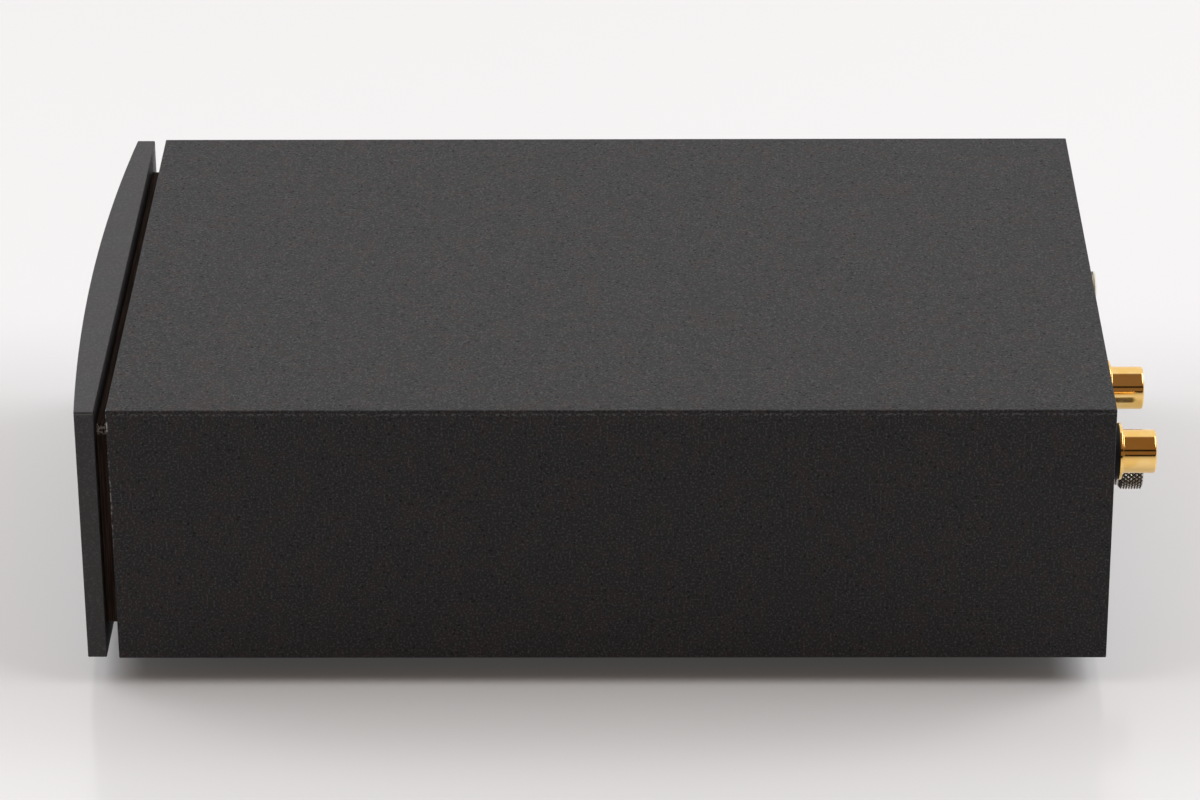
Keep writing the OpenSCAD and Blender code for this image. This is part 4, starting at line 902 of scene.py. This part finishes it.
def table_top():
    """A wide pale table with a faint gloss, which shows a soft reflection of the case. Its
    faint glow stands for the light that a white acrylic top carries under the case."""
    look = look_for("table_white")
    wide = look.noise(0.4, 2.0)
    white = look.mix(wide, (0.700, 0.704, 0.719, 1), (0.724, 0.728, 0.741, 1))
    material = look.finish(Base_Color=white,
                           Roughness=0.16, Specular_IOR_Level=0.4,
                           Emission_Color=(0.98, 0.99, 1.0, 1), Emission_Strength=0.047)
    half = 6.0
    mesh = bpy.data.meshes.new("table")
    mesh.from_pydata([(-half, -half, 0), (half, -half, 0), (half, half, 0), (-half, half, 0)], [],
                     [(0, 1, 2, 3)])
    mesh.materials.append(material)
    table = bpy.data.objects.new("table", mesh)
    bpy.context.scene.collection.objects.link(table)


def studio_light():
    """A white sweep behind the object up to about 70 degrees, a dim ceiling and room before
    it with a dark band at the camera's height and at the horizon, and a wide soft box at
    each side. The direction is an angle round the Y axis, 0 in front and 180 behind."""
    camera_band, horizon_band, sweep_from, sweep_soft = 30, 3, 103, 10
    world = bpy.data.worlds.new("studio")
    bpy.context.scene.world = world
    look = Look(world, "Generated")
    x, z = look.axes("XZ")
    angle = look.node("ShaderNodeMath", {"operation": "ARCTAN2"}, {0: z, 1: x}) * (180 / math.pi)
    dark = abs(angle - camera_band).under(6.0, 2.0)
    dark = dark + abs(angle - horizon_band).under(6.0, 1.5)
    room = look.mix(dark, (0.22, 0.135, 0.078, 1), (0.02, 0.015, 0.01, 1))
    sweep = angle.over(sweep_from, sweep_soft)
    sky = look.node("ShaderNodeBackground", {},
                    {"Color": look.mix(sweep, room, (0.96, 0.95, 0.95, 1))})
    look.node("ShaderNodeOutputWorld", {}, {"Surface": sky})
    for name, place, power in (("right_box", (0.0, 1.15, 1.25), 20.5),
                               ("left_box", (0.0, -1.15, 1.25), 16)):
        lamp = bpy.data.lights.new(name, "AREA")
        lamp.color = 0.97, 0.985, 1.0
        lamp.shape, lamp.size, lamp.size_y, lamp.energy = "RECTANGLE", 1.5, 1.1, power
        thing = bpy.data.objects.new(name, lamp)
        bpy.context.scene.collection.objects.link(thing)
        aim = Vector(place).to_track_quat("Z", "Y").to_matrix().to_4x4()
        thing.matrix_world = Matrix.Translation(place) @ aim
        thing.visible_camera = False


def camera():
    """The photograph's camera: a place in the row frame, three turns and a long lens."""
    place = Vector((0.864806, 0.008032, 0.461058))
    yaw, pitch, roll = -0.0129451, 0.463072, -0.00698443
    ahead = Vector((-math.cos(pitch) * math.cos(yaw), math.cos(pitch) * math.sin(yaw),
                    -math.sin(pitch)))
    level = Vector((math.sin(yaw), math.cos(yaw), 0))
    upright = level.cross(ahead)
    right = math.cos(roll) * level + math.sin(roll) * upright
    up = math.cos(roll) * upright - math.sin(roll) * level
    data = bpy.data.cameras.new("camera")
    data.lens, data.sensor_width, data.sensor_fit = 145.78, 36, "HORIZONTAL"
    data.clip_start, data.clip_end = 0.01, 50
    thing = bpy.data.objects.new("camera", data)
    bpy.context.scene.collection.objects.link(thing)
    turn = Matrix((right, up, -ahead)).transposed().to_4x4()
    thing.matrix_world = Matrix.Translation(place) @ turn
    bpy.context.scene.camera = thing


table_top()
studio_light()
camera()
bpy.context.scene.view_settings.view_transform = "Standard"
